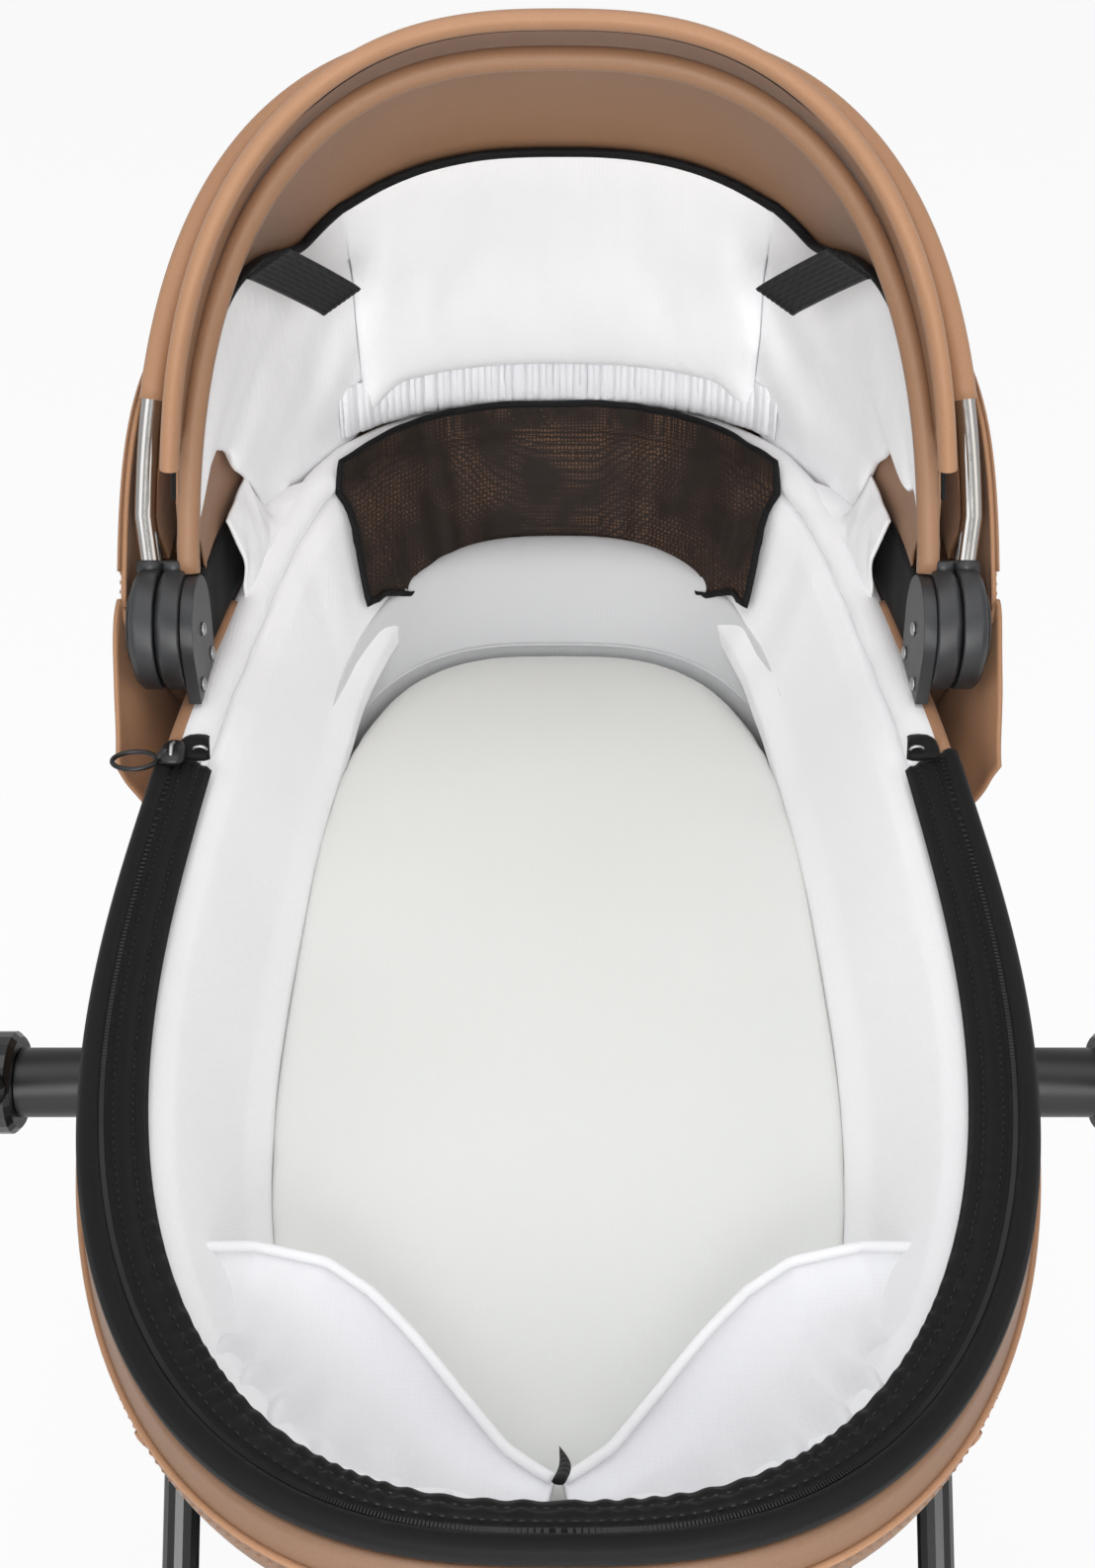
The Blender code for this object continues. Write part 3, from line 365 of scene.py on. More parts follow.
def clothShell(name, surface, acrossSteps, alongSteps, thick, material, body, wrap=False, **more):
    # a closed thin shell under surface(u, v); thick is laid on the inner side, given by the sign of thick
    columns = acrossSteps if wrap else acrossSteps + 1
    grid = [[surface(i / acrossSteps, j / alongSteps) for i in range(columns)] for j in range(alongSteps + 1)]
    inner = []
    for j in range(alongSteps + 1):
        row = []
        for i in range(columns):
            right = grid[j][(i + 1) % columns] if wrap else grid[j][min(i + 1, columns - 1)]
            left = grid[j][i - 1] if wrap else grid[j][max(i - 1, 0)]
            top, low = grid[min(j + 1, alongSteps)][i], grid[max(j - 1, 0)][i]
            normal = (right - left).cross(top - low)
            if normal.length > 1e-12:
                normal.normalize()
            row.append(grid[j][i] - normal * thick)
        inner.append(row)
    points = [p for row in grid for p in row] + [p for row in inner for p in row]
    size = columns * (alongSteps + 1)
    faces = []
    span = columns if wrap else columns - 1
    for j in range(alongSteps):
        for i in range(span):
            k = (i + 1) % columns
            a, b, c, d = j * columns + i, j * columns + k, (j + 1) * columns + k, (j + 1) * columns + i
            faces += [(a, b, c, d), (size + d, size + c, size + b, size + a)]
    for i in range(span):
        k = (i + 1) % columns
        top = alongSteps * columns
        faces += [(k, i, size + i, size + k), (top + i, top + k, size + top + k, size + top + i)]
    if not wrap:
        for j in range(alongSteps):
            a, b = j * columns, (j + 1) * columns
            faces += [(a, b, size + b, size + a),
                      (b + columns - 1, a + columns - 1, size + a + columns - 1, size + b + columns - 1)]
    return addPiece(name, points, faces, material, body, **more)


def stitches(name, path, upward, length, gap, thick, material, body, lift=0.0):
    # a row of sewn stitches along a path, each a small pillow of thread
    points, faces = [], []
    travelled, nextStart = 0.0, 0.0
    for a, b in zip(path, path[1:]):
        step = (b - a).length
        while nextStart < travelled + step:
            along = (b - a).normalized()
            centre = a + along * (nextStart - travelled) + upward(a) * lift
            side = along.cross(upward(a)).normalized() * thick / 2
            rise = upward(a) * thick * 0.6
            base = len(points)
            points += [centre - along * length / 2, centre + side, centre + along * length / 2, centre - side,
                       centre + rise, centre - rise * 0.5]
            for j in range(4):
                k = (j + 1) % 4
                faces += [(base + j, base + k, base + 4), (base + k, base + j, base + 5)]
            nextStart += length + gap
        travelled += step
    return addPiece(name, points, faces, material, body, smooth=False)


def declareSheet(piece):
    # works out the piece's own one-sided area, which is not used further
    shape = bmesh.new()
    shape.from_mesh(piece.data)
    area = sum(face.calc_area() for face in shape.faces) / 2
    shape.free()


def ease(value, low, high):
    t = min(max((value - low) / (high - low), 0.0), 1.0)
    return t * t * (3 - 2 * t)


def upwardZ(point):
    return Vector((0, 0, 1))


def waved(size, *place):
    # a soft random wave of this size, fixed by its place
    return size * noise.noise(Vector(place))


def ripple(point, perMetreCount, seed=0.0):
    return waved(1.0, point.x * perMetreCount + seed, point.y * perMetreCount, point.z * perMetreCount)


def shares(count):
    return [i / count for i in range(count + 1)]


def awayFromMiddle(point, lengthwise):
    # level direction out of the cot at this point; lengthwise is the share of its Y part
    return Vector((point.x, (point.y - cotY) * lengthwise, 0)).normalized()


def squareTurn(angle, power):
    # cosine and sine of a rounded square; power 1 is a circle
    c, s = math.cos(angle), math.sin(angle)
    return math.copysign(abs(c) ** power, c), math.copysign(abs(s) ** power, s)


def acrossHood(limit, count):
    # places across the hood, closer together at its ends
    return [-limit * math.cos(math.pi * i / count) for i in range(count + 1)]


leftAndRight = (("left", -1), ("right", 1))


# The rim's outline seen from above: the sides taper to the foot, whose end is a flattened half circle
rimShape = {
    "halfWidth": bandHigh.x - 0.0004,
    "footLength": cotY - bandLow.y + 0.005,
    "headLength": bandHigh.y - cotY,
    "power": 2.65,
    "taper": 0.066,           # per metre
}
tubShape = {
    "baseHalfWidth": boardHigh.x + 0.018,
    "baseHalfLength": (boardHigh.y - boardLow.y) / 2 + 0.018,
    "bottom": shellLow.z,
    "wall": 0.004,
    "bulge": 0.006,           # the padding under the leatherette
    "foldIn": 0.012,          # how far the bottom edge rolls in
}


def eggPoint(turn, halfWidth, footLength, headLength, z, power=None, lift=1.0, taper=None):
    c, s = squareTurn(2 * math.pi * turn, 2 / (power or rimShape["power"]))
    y = (headLength if s > 0 else footLength) * s
    k = rimShape["taper"] if taper is None else taper
    x = halfWidth * c * (1 - k * y)
    climb = ease(y / headLength, 0.36, 0.86) * headRise * lift
    return Vector((x, cotY + y, z + climb))


def rimPoint(turn, inset, drop):
    return eggPoint(turn, rimShape["halfWidth"] - inset, rimShape["footLength"] - inset,
                    rimShape["headLength"] - inset, rimZ + drop)


def turnAt(y):
    # the turn at which the rim's head half reaches this Y
    return math.asin(((y - cotY) / rimShape["headLength"]) ** (rimShape["power"] / 2)) / (2 * math.pi)


def tubPoint(turn, level, inset):
    swell = math.sin(level * math.pi / 2)
    top = rimZ - 0.006
    base, low = tubShape["baseHalfWidth"], tubShape["baseHalfLength"]
    push = tubShape["bulge"] * math.exp(-((level - 0.84) / 0.13) ** 2) - inset
    return eggPoint(turn, base + (rimShape["halfWidth"] - 0.002 - base) * swell + push,
                    low + (rimShape["footLength"] - 0.002 - low) * swell + push,
                    low + (rimShape["headLength"] - 0.006 - low) * swell + push * 0.4,
                    tubShape["bottom"] + (top - tubShape["bottom"]) * level, lift=level)


# Tub: leatherette over a rigid shell, with a rolled bottom edge, soft ripples and a piped seam
def makeTub():
    def skin(u, v):
        p = tubPoint(u, v, tubShape["foldIn"] * max(1 - v / 0.06, 0.0) ** 1.5)
        out = awayFromMiddle(p, 0.25)
        soft = 0.0011 * ripple(p, 14.0) + 0.0006 * ripple(Vector((p.x, p.y, p.z * 0.3)), 45.0, 3.0)
        return p + out * soft * math.sin(math.pi * min(v + 0.1, 1.0))

    clothShell("tub_cover", skin, 200, 34, tubShape["wall"] - 0.0005, shadedTubSkin, "cot", wrap=True,
               standsFor=("cot_shell",), slotName="leatherette")
    floor = [tubPoint(i / 100, 0.0, 0.0125) + Vector((0, 0, 0.0005)) for i in range(100)]
    under = floor + [p + Vector((0, 0, 0.003)) for p in floor]
    addPiece("tub_underside", under, ringFaces(2, 100), shadedTubSkin, "cot", slotName="leatherette")
    for name, level in (("tub_piping_upper", 0.90), ("tub_piping_lower", 0.10)):
        path = [tubPoint(i / 200, level, -0.0006) for i in range(200)]
        sweepPiece(name, path, upwardZ, roundSection(0.0016, 8), hoodSkin, "cot", closed=True)
    seamRow = [tubPoint(i / 400, 0.865, -0.0007) for i in range(401)]
    stitches("tub_topstitching", seamRow, lambda p: awayFromMiddle(p, 0.3), 0.0032, 0.0016, 0.0009, hoodInside, "cot")
    for index, turn in enumerate((0.09, 0.41, 0.64, 0.86)):
        seam = [tubPoint(turn, 0.10 + 0.75 * j / 30, -0.0005) for j in range(31)]
        sweepPiece(f"tub_seam_{index + 1}", seam, lambda p: awayFromMiddle(p, 0.4), roundSection(0.0011, 6),
                   hoodInside, "cot")


# Zip band: it runs round the foot and along both sides, and ends at the hood's hubs
zipBand = {
    "endY": cotY + 0.052,
    "roll": 0.0044,           # radius of the rolled outer edge
    "width": 0.0275,
    "fall": 0.0095,           # the tape slopes down into the cot
    "toothPitch": 0.0032,
    "tooth": (0.0009, 0.0010),        # half length along the band, half width
    "toothHeights": (0.0022, 0.0040),
    "toothInset": 0.0094,
    "seams": (("outer", 0.0140), ("inner", 0.0215)),
    "endLength": 0.022,               # of the tapes' turned ends
    "endHalfWidth": 0.0095,
}


def bandTurns(count):
    # turns round the outline from the left end, past the foot, to the right end
    reach = turnAt(zipBand["endY"])
    return [(0.5 - reach) + (0.5 + 2 * reach) * i / count for i in range(count + 1)]


def headTurns(start, count):
    # turns round the head, from the same place on the right to that on the left
    return [start + (0.5 - 2 * start) * i / count for i in range(count + 1)]


def makeZipBand():
    turns = bandTurns(360)
    edge = [rimPoint(t, zipBand["roll"] * 0.9, 0.0012) for t in turns]
    sweepPiece("zip_rolled_edge", edge, upwardZ,
               lambda share: ovalRing(0.0052, 0.0054 + 0.0003 * math.sin(40 * share), 14), zipTape, "cot",
               standsFor=("rim_band",), slotName="webbing")

    def tape(u, v):
        turn = turns[0] + (turns[-1] - turns[0]) * u
        p = rimPoint(turn, 0.0050 + (zipBand["width"] - 0.0050) * v, 0.0)
        foot = ease(cotY - p.y, 0.20, 0.34)
        ribs = 0.0006 * math.cos(v * math.pi * 9) * (1 - 0.6 * foot)
        gathers = 0.0007 * foot * ease(v, 0.25, 0.8) * math.sin(u * 520 + 3.0 * math.sin(u * 61))
        return p + Vector((0, 0, 0.0042 - zipBand["fall"] * v ** 1.3 + ribs + gathers))

    clothShell("zip_tape", tape, 720, 30, 0.0016, zipTape, "cot", slotName="webbing")
    teeth, faces = [], []
    long, wide = zipBand["tooth"]
    count = int(2 * 0.98 / zipBand["toothPitch"])
    for i in range(count):
        turn = turns[0] + (turns[-1] - turns[0]) * i / count
        a, b = [rimPoint(t, zipBand["toothInset"], 0.0) for t in (turn, turn + 0.0004)]
        along = (b - a).normalized()
        side = along.cross(Vector((0, 0, 1))).normalized()
        base = len(teeth)
        for height in zipBand["toothHeights"]:
            for da, ds in ((-1, -1), (1, -1), (1, 1), (-1, 1)):
                teeth.append(a + along * (da * long) + side * (ds * wide) + Vector((0, 0, height)))
        faces += [tuple(base + k for k in q) for q in ((3, 2, 1, 0), (4, 5, 6, 7), (0, 1, 5, 4), (1, 2, 6, 5),
                                                       (2, 3, 7, 6), (3, 0, 4, 7))]
    addPiece("zip_teeth", teeth, faces, zipEnamel, "cot", smooth=False, slotName="zip_metal")
    for row, inset in zipBand["seams"]:
        path = [rimPoint(t, inset, 0.0046 - zipBand["fall"] * ((inset - 0.0078) / 0.0197) ** 1.3) for t in turns]
        stitches(f"zip_stitching_{row}", path, upwardZ, 0.0030, 0.0016, 0.0008, zipEnamel, "cot")
    # the tapes' turned ends and the metal stops beside the hubs
    for side, sign in leftAndRight:
        turn = turns[0] if side == "left" else turns[-1]
        start = rimPoint(turn, 0.0185, 0.0)
        points = []
        for j in range(9):
            s = j / 8
            centre = start + Vector((0, zipBand["endLength"] * s - 0.004, 0.0035 + 0.004 * math.sin(math.pi * s)))
            for across, rise in ovalRing(zipBand["endHalfWidth"] * (1 - 0.35 * s), 0.0016, 8):
                points.append(centre + Vector((sign * across, 0, rise)))
        addPiece(f"zip_tape_end_{side}", points, ringFaces(9, 8), zipTape, "cot", slotName="webbing")
        stop = rimPoint(turn, 0.0225, 0.0078) + Vector((0, -0.001, 0))
        path = [stop + Vector((0.0035 * math.cos(a), 0, 0.0022 * math.sin(a)))
                for a in [math.pi * t for t in shares(8)]]
        sweepPiece(f"zip_stop_{side}", path, lambda p: Vector((0, 1, 0)), roundSection(0.0009, 8), zincSteel, "cot",
                   slotName="zip_metal")


# The rim at the head: leatherette turned over beside the hubs, and the white lining turned over all along
headRim = {
    "edge": 0.0050,           # radius of the leatherette edge
    "edgeEndY": hoodY + 0.090,
    "wide": 0.0105,           # half width and half height of the turned lining
    "tall": 0.0095,
    "thinning": 0.50,
    "netEnds": (0.088, 0.108),
}


def makeHeadRim():
    h = headRim
    turns = headTurns(turnAt(zipBand["endY"]), 160)
    near = [p for p in [rimPoint(t, 0.006, -0.0005) for t in turns] if p.y < h["edgeEndY"]]
    for side, part in (("right", [p for p in near if p.x > 0]), ("left", [p for p in near if p.x < 0])):
        sweepPiece(f"head_rim_edge_{side}", part, upwardZ, roundSection(h["edge"], 12), hoodSkin, "cot",
                   slotName="leatherette")

    def size(turn):
        # the turned lining is thin where the net is sewn to it
        return 1 - h["thinning"] * (1 - ease(abs(turn - 0.25), *h["netEnds"]))

    turned = [rimPoint(t, 0.0070 + 0.0070 * size(t), -0.0050 * size(t)) for t in turns]

    def turnedSection(share):
        s = size(turns[0] + (turns[-1] - turns[0]) * share)
        return ovalRing((h["wide"] + 0.0004 * math.sin(150 * share)) * s, h["tall"] * s, 14)

    sweepPiece("head_rim_lining", turned, upwardZ, turnedSection, cotton, "cot", slotName="cotton")


makeTub()
makeZipBand()
makeHeadRim()
print("tub and zip band made")


# Lining: padded cotton walls that slope from the zip band down to the mattress, with soft vertical folds
liningShape = {
    "profile": [(0.0190, -0.0120), (0.0255, -0.0125), (0.0330, -0.0210), (0.0400, -0.0370), (0.0485, -0.0570),
                (0.0575, -0.0780), (0.0700, -0.0945), (0.0722, -0.1060)],   # inset from the rim, drop below it
    "puff": 0.0050,           # how far the padding swells between the edge and the mattress
    "folds": 0.0016,
}


def alongProfile(profile, share):
    place = share * (len(profile) - 1)
    i = min(int(place), len(profile) - 2)
    t = place - i
    return tuple(a + (b - a) * t for a, b in zip(profile[i], profile[i + 1]))


def liningPoint(u, v, extra=0.0):
    inset, drop = alongProfile(liningShape["profile"], v)
    p = rimPoint(u, inset, drop)
    head = ease((p.y - cotY) / rimShape["headLength"], 0.25, 0.75)
    foot = ease((cotY - p.y) / rimShape["footLength"], 0.55, 0.95)
    # the head wall stands nearly upright behind the bolster and the net
    p = p + Vector((0, 0.020 * ease((p.y - cotY) / rimShape["headLength"], 0.80, 0.98) * v, 0))
    inward = -awayFromMiddle(p, 0.55)
    swell = liningShape["puff"] * math.sin(math.pi * v) ** 0.8 * (1 - 0.7 * head)
    length = u * 2.15
    pleat = (0.4 + 1.1 * head + 0.5 * foot) * liningShape["folds"]
    fold = waved(pleat, length * 11.0, v * 1.6 + length * 2.0, 1.0) + waved(0.6 * pleat, length * 30.0, v * 2.5, 7.0)
    gather = 0.0016 * foot * math.sin(u * 300 + 2.0 * math.sin(u * 47)) * (1 - v) ** 2
    bumps = 0.0060 * foot * max(0.0, waved(1.0, length * 24.0, 3.0, 0.0)) * math.sin(math.pi * v)
    return p + inward * (swell + fold + gather + bumps + extra) + Vector((0, 0, 0.4 * (fold + bumps)))


def makeLining():
    lining = clothShell("wall_lining", liningPoint, 400, 44, 0.0035, cotton, "cot", wrap=True,
                        standsFor=("liner",), slotName="cotton")


# Mattress: foam in a jersey cover, swollen by a short cloth simulation
def eggRing(halfWidth, footLength, headLength, power, z, count):
    return [eggPoint(i / count, halfWidth, footLength, headLength, z, power, 0.0, 0.0) for i in range(count)]


def swellByCloth(piece, cap, pressure=4.0, frames=20, voxel=0.006):
    # remeshed, blown up a little under pressure, and held to a largest move
    mesh = piece.data
    bpy.context.view_layer.objects.active = piece
    remesh = piece.modifiers.new("remesh", "REMESH")
    remesh.mode = "VOXEL"
    remesh.voxel_size = voxel
    graph = bpy.context.evaluated_depsgraph_get()
    piece.data = bpy.data.meshes.new_from_object(piece.evaluated_get(graph))
    piece.modifiers.clear()
    start = [v.co.copy() for v in piece.data.vertices]
    cloth = piece.modifiers.new("cloth", "CLOTH")
    cloth.settings.quality = 5
    cloth.settings.mass = 0.3
    cloth.settings.tension_stiffness = 18
    cloth.settings.compression_stiffness = 18
    cloth.settings.bending_stiffness = 4
    cloth.settings.use_pressure = True
    cloth.settings.uniform_pressure_force = pressure
    cloth.settings.effector_weights.gravity = 0.0
    cloth.collision_settings.use_collision = False
    cloth.point_cache.frame_start = 1
    cloth.point_cache.frame_end = frames
    for step in range(1, frames + 1):
        bpy.context.scene.frame_set(step)
    graph = bpy.context.evaluated_depsgraph_get()
    moved = bpy.data.meshes.new_from_object(piece.evaluated_get(graph))
    piece.modifiers.clear()
    for v, old in zip(moved.vertices, start):
        shift = v.co - old
        if shift.length > cap:
            v.co = old + shift * (cap / shift.length)
    piece.data = moved
    bpy.data.meshes.remove(mesh)
    bpy.context.scene.frame_set(1)


def softenPiece(piece, repeats):
    shape = bmesh.new()
    shape.from_mesh(piece.data)
    for _ in range(repeats):
        bmesh.ops.smooth_vert(shape, verts=shape.verts, factor=0.5, use_axis_x=True, use_axis_y=True, use_axis_z=True)
    shape.to_mesh(piece.data)
    shape.free()
    for polygon in piece.data.polygons:
        polygon.use_smooth = True


mattressShape = {
    "halfWidth": mattressHigh.x,
    "footLength": cotY - mattressLow.y,
    "headLength": mattressHigh.y - cotY,
    "power": 3.0,
    "crown": 0.003,
}


def makeMattress():
    m = mattressShape
    low, high = mattressLow.z + 0.0005, mattressHigh.z
    rings = []
    for inset, z in ((0.020, low), (0.008, low + 0.004), (0.003, low + 0.012), (0.004, (low + high) / 2),
                     (0.003, high - 0.012), (0.0055, high - 0.006), (0.012, high - 0.002), (0.028, high),
                     (0.060, high + m["crown"] * 0.6), (0.100, high + m["crown"])):
        rings.append(eggRing(m["halfWidth"] - inset, m["footLength"] - inset, m["headLength"] - inset, m["power"],
                             z, 120))
    points = [p for ring in rings for p in ring]
    pad = addPiece("mattress_pad", points, ringFaces(len(rings), 120), jersey, "cot", standsFor=("mattress",),
                   slotName="jersey")
    swellByCloth(pad, 0.0035)
    softenPiece(pad, 2)


# Bolster: a half-moon pad behind the mattress's head, highest along the head wall
bolsterShape = {
    "from": 24, "sweep": 132,             # degrees round the head
    "nearHalfWidth": 0.1520, "nearPower": 3.0,
    "farHalfWidth": 0.1580, "farPower": 2.8, "farInset": 0.062,
    "height": 0.050,
    "crease": 0.0011,
    "puff": 0.0070,
}


def makeBolster():
    low = mattressLow.z + 0.001
    padTop = mattressHigh.z
    b = bolsterShape

    def pad(u, v):
        angle = math.radians(b["from"] + b["sweep"] * u)
        c, s = squareTurn(angle, 2 / b["nearPower"])
        near = Vector((b["nearHalfWidth"] * c, cotY + (mattressShape["headLength"] + 0.0015) * s, 0))
        c, s = squareTurn(angle, 2 / b["farPower"])
        far = Vector((b["farHalfWidth"] * c, cotY + (rimShape["headLength"] - b["farInset"]) * s, 0))
        share = math.sin(math.pi * u) ** 0.55
        far = near + (far - near) * max(share, 0.16)
        topZ = padTop + b["height"] * math.sin(math.pi * u) ** 0.36
        p = near.lerp(far, v)
        z = padTop - 0.010 + (topZ - padTop + 0.010) * math.sin(math.pi / 2 * v ** 0.85)
        crease = waved(b["crease"], u * 16.0, v * 3.0, 2.0) * math.sin(math.pi * v)
        puff = b["puff"] * math.sin(math.pi * v) * share
        return Vector((p.x, p.y - 0.4 * puff, z + puff + crease))

    across, along = 96, 22
    top = [[pad(i / across, j / along) for i in range(across + 1)] for j in range(along + 1)]
    back = [Vector((p.x, p.y + 0.0010, low)) for p in top[-1]]
    front = [Vector((p.x, p.y, low)) for p in top[0]]
    points = []
    for i in range(across + 1):
        points += [front[i]] + [row[i] for row in top] + [back[i]]
    bolster = addPiece("head_bolster_pad", points, ringFaces(across + 1, along + 3), bolsterJersey, "cot",
                       standsFor=("head_bolster",), slotName="jersey")
    softenPiece(bolster, 1)
    seam = [pad(i / across, 0.02) + Vector((0, -0.0006, 0.0022)) for i in range(4, across - 3)]
    sweepPiece("bolster_seam", seam, upwardZ, roundSection(0.0010, 8), bolsterJersey, "cot", slotName="jersey")


# Foot flaps: two petals of padded cotton that meet at the middle of the foot
flapShape = {
    "free": 0.0350,           # height of the free edge over the mattress
    "middleFree": 0.0200,
    "topEdge": [(0.0025, -0.2200, 0.0), (0.0210, -0.2080, 0.0), (0.0400, -0.1860, 0.0), (0.0590, -0.1630, 0.0),
                (0.0790, -0.1400, 0.0), (0.0990, -0.1240, 0.0), (0.1300, -0.1190, 0.004), (0.1500, -0.1300, 0.016),
                (0.1690, -0.1560, 0.036)],
}     # x, y and extra height of the free edge, from the middle outwards


def makeFootFlaps():
    def edgeAt(share):
        return alongProfile(flapShape["topEdge"], share)

    for side, sign in leftAndRight:
        def petal(u, v, sign=sign):
            x, y, climb = edgeAt(u)
            height = flapShape["middleFree"] + (flapShape["free"] - flapShape["middleFree"]) * ease(u, 0.0, 0.45)
            free = Vector((sign * x, y, mattressHigh.z + height + climb))
            under = rimPoint(0.75 + sign * (0.004 + 0.157 * u ** 1.05), 0.0300, -0.0170 - 0.0160 * u ** 4)
            along = ease(v, 0.0, 1.0)
            p = free.lerp(under, v)
            dip = 0.0260 * math.sin(math.pi * v ** 0.8) * (0.35 + 0.65 * math.sin(math.pi * min(u + 0.12, 1.0)))
            fold = waved(0.0040, u * 6.0, v * 3.2, 5.0 + sign) * ease(v, 0.1, 0.5)
            gathers = 0.0042 * ease(v, 0.35, 0.95) * math.sin(u * 62 + 5.0 * v + 2.2 * math.sin(u * 9))
            roll = 0.0050 * math.exp(-((v - 0.86) / 0.12) ** 2)
            return p + Vector((0, 0, fold + gathers + roll - dip * (1 - 0.3 * along)))

        flap = clothShell(f"foot_petal_{side}", petal, 120, 34, -0.0040 * sign, shadedGatheredCotton, "cot",
                          standsFor=(f"foot_flap_{side}",), slotName="cotton")
        hem = [petal(i / 60, 0.0) + Vector((0, 0, 0.0006)) for i in range(61)]
        sweepPiece(f"foot_petal_hem_{side}", hem, upwardZ, roundSection(0.0024, 8), cotton, "cot",
                   slotName="cotton")
    # the open end of a small black zip at the middle of the foot
    tagPath = [Vector((0.0025 * math.sin(3 * t), cotY - rimShape["footLength"] + 0.052 + 0.030 * t,
                       rimZ - 0.030 - 0.022 * t)) for t in shares(10)]
    sweepPiece("foot_zip_tab", tagPath, lambda p: Vector((0, 0.5, 1)).normalized(),
               lambda share: ovalRing(0.0026 * (1 - share ** 3), 0.0012, 8), zipTape, "cot", slotName="webbing")


makeLining()
makeMattress()
makeBolster()
makeFootFlaps()
print("lining, mattress and flaps made")


# Net window along the head wall, softly pleated, with a narrow black edging
netShape = {
    "low": rimZ - 0.052,
    "high": rimZ + 0.0415,
    "cornerRise": 0.014,      # how much higher the lower edge ends at its corners
    "reach": 0.133,           # in turns each way from the head's middle, along the lower edge
    "topReach": 0.121,
    "lift": 0.0078,           # off the wall lining
    "pleat": 0.0009,
}


def netPoint(u, v, lift=0.0):
    turn = 0.25 + (netShape["reach"] + (netShape["topReach"] - netShape["reach"]) * v) * (2 * u - 1)
    ends = abs(2 * u - 1)
    low = netShape["low"] + netShape["cornerRise"] * ease(ends, 0.70, 0.94)
    z = low + (netShape["high"] - low) * v
    drop = z - rimPoint(turn, 0.03, 0.0).z
    share = 0.0
    for step in range(1, 40):
        if alongProfile(liningShape["profile"], step / 40)[1] > drop:
            share = step / 40
    p = liningPoint(turn, share, netShape["lift"] + lift)
    pleat = netShape["pleat"] * math.sin(u * 62 + 2.2 * math.sin(u * 17) + 0.5 * v) * (0.4 + 0.6 * (1 - v))
    inward = -awayFromMiddle(p, 0.55)
    p = p + inward * pleat
    return Vector((p.x, p.y, z))


def makeNet():
    def reversedNet(u, v):
        return netPoint(1 - u, v)

    window = clothShell("net_window", reversedNet, 240, 26, 0.0008, net, "cot", standsFor=("mesh_window",),
                        slotName="net")
    declareSheet(window)
    outline = [netPoint(i / 80, 0.0, 0.001) for i in range(81)] + [netPoint(1.0, j / 20, 0.001) for j in range(1, 21)]
    outline += [netPoint(1 - i / 80, 1.0, 0.001) for i in range(1, 81)] + [netPoint(0.0, 1 - j / 20, 0.001)
                                                                        for j in range(1, 20)]
    sweepPiece("net_edging", outline, lambda p: Vector((-p.x, cotY - p.y, 0.001)).normalized(),
               ovalSection(0.0024, 0.0011, 10), zipTape, "cot", closed=True, slotName="webbing")


# Hood: three lapping covers on the hub axis, a sleeve on the front bow, and linings
hoodShape = {
    "halfWidth": 0.243,
    "radius": 0.327,
    "stepWidth": 0.016,
    "stepRadius": 0.006,
    "thick": 0.0028,
    "power": 2.6,
    "inner": 0.056,           # where a cover ends beside its drum, from the axis
    "billow": 0.0010,
    "flare": 0.0046,          # of the front edge, over the bow
}


def archReach(x, halfWidth, top, power):
    # how far a bow or cover stands from the hood's axis at this x
    return top * max(1 - min(abs(x) / halfWidth, 1.0) ** power, 0.0) ** (1 / power)


def turnedOut(x, reach, alpha):
    # the place at this x, this far from the hood's axis, alpha degrees up from the head end
    a = math.radians(alpha)
    return Vector((x, hoodY + reach * math.cos(a), hoodZ + reach * math.sin(a)))


def hoodSize(layer, lift):
    # half width and radius of one layer's surface
    return [hoodShape[size] - hoodShape[step] * layer + lift
            for size, step in (("halfWidth", "stepWidth"), ("radius", "stepRadius"))]


def hoodPoint(x, alpha, layer, lift=0.0):
    if layer == 2:
        lift += hoodShape["flare"] * ease(alpha, 62.0, 72.0)
    w, r = hoodSize(layer, lift)
    return turnedOut(x, archReach(x, w, r, hoodShape["power"]), alpha)


def hoodLimit(layer, lift=0.0, inner=None):
    # the x at which a cover comes down to this distance from the axis
    w, r = hoodSize(layer, lift)
    n = hoodShape["power"]
    return w * (1 - ((inner or hoodShape["inner"]) / r) ** n) ** (1 / n)


def hoodUp(point):
    return Vector((point.x * 0.8, point.y - hoodY, point.z - hoodZ)).normalized()


def frontEdge(x):
    return 71 + 8 * ease(abs(x), 0.12, 0.20)


def liningEdge(x):
    # angle of the white lining's black-bound edge
    return 38.5 + 28 * ease(abs(x), 0.148, 0.196)


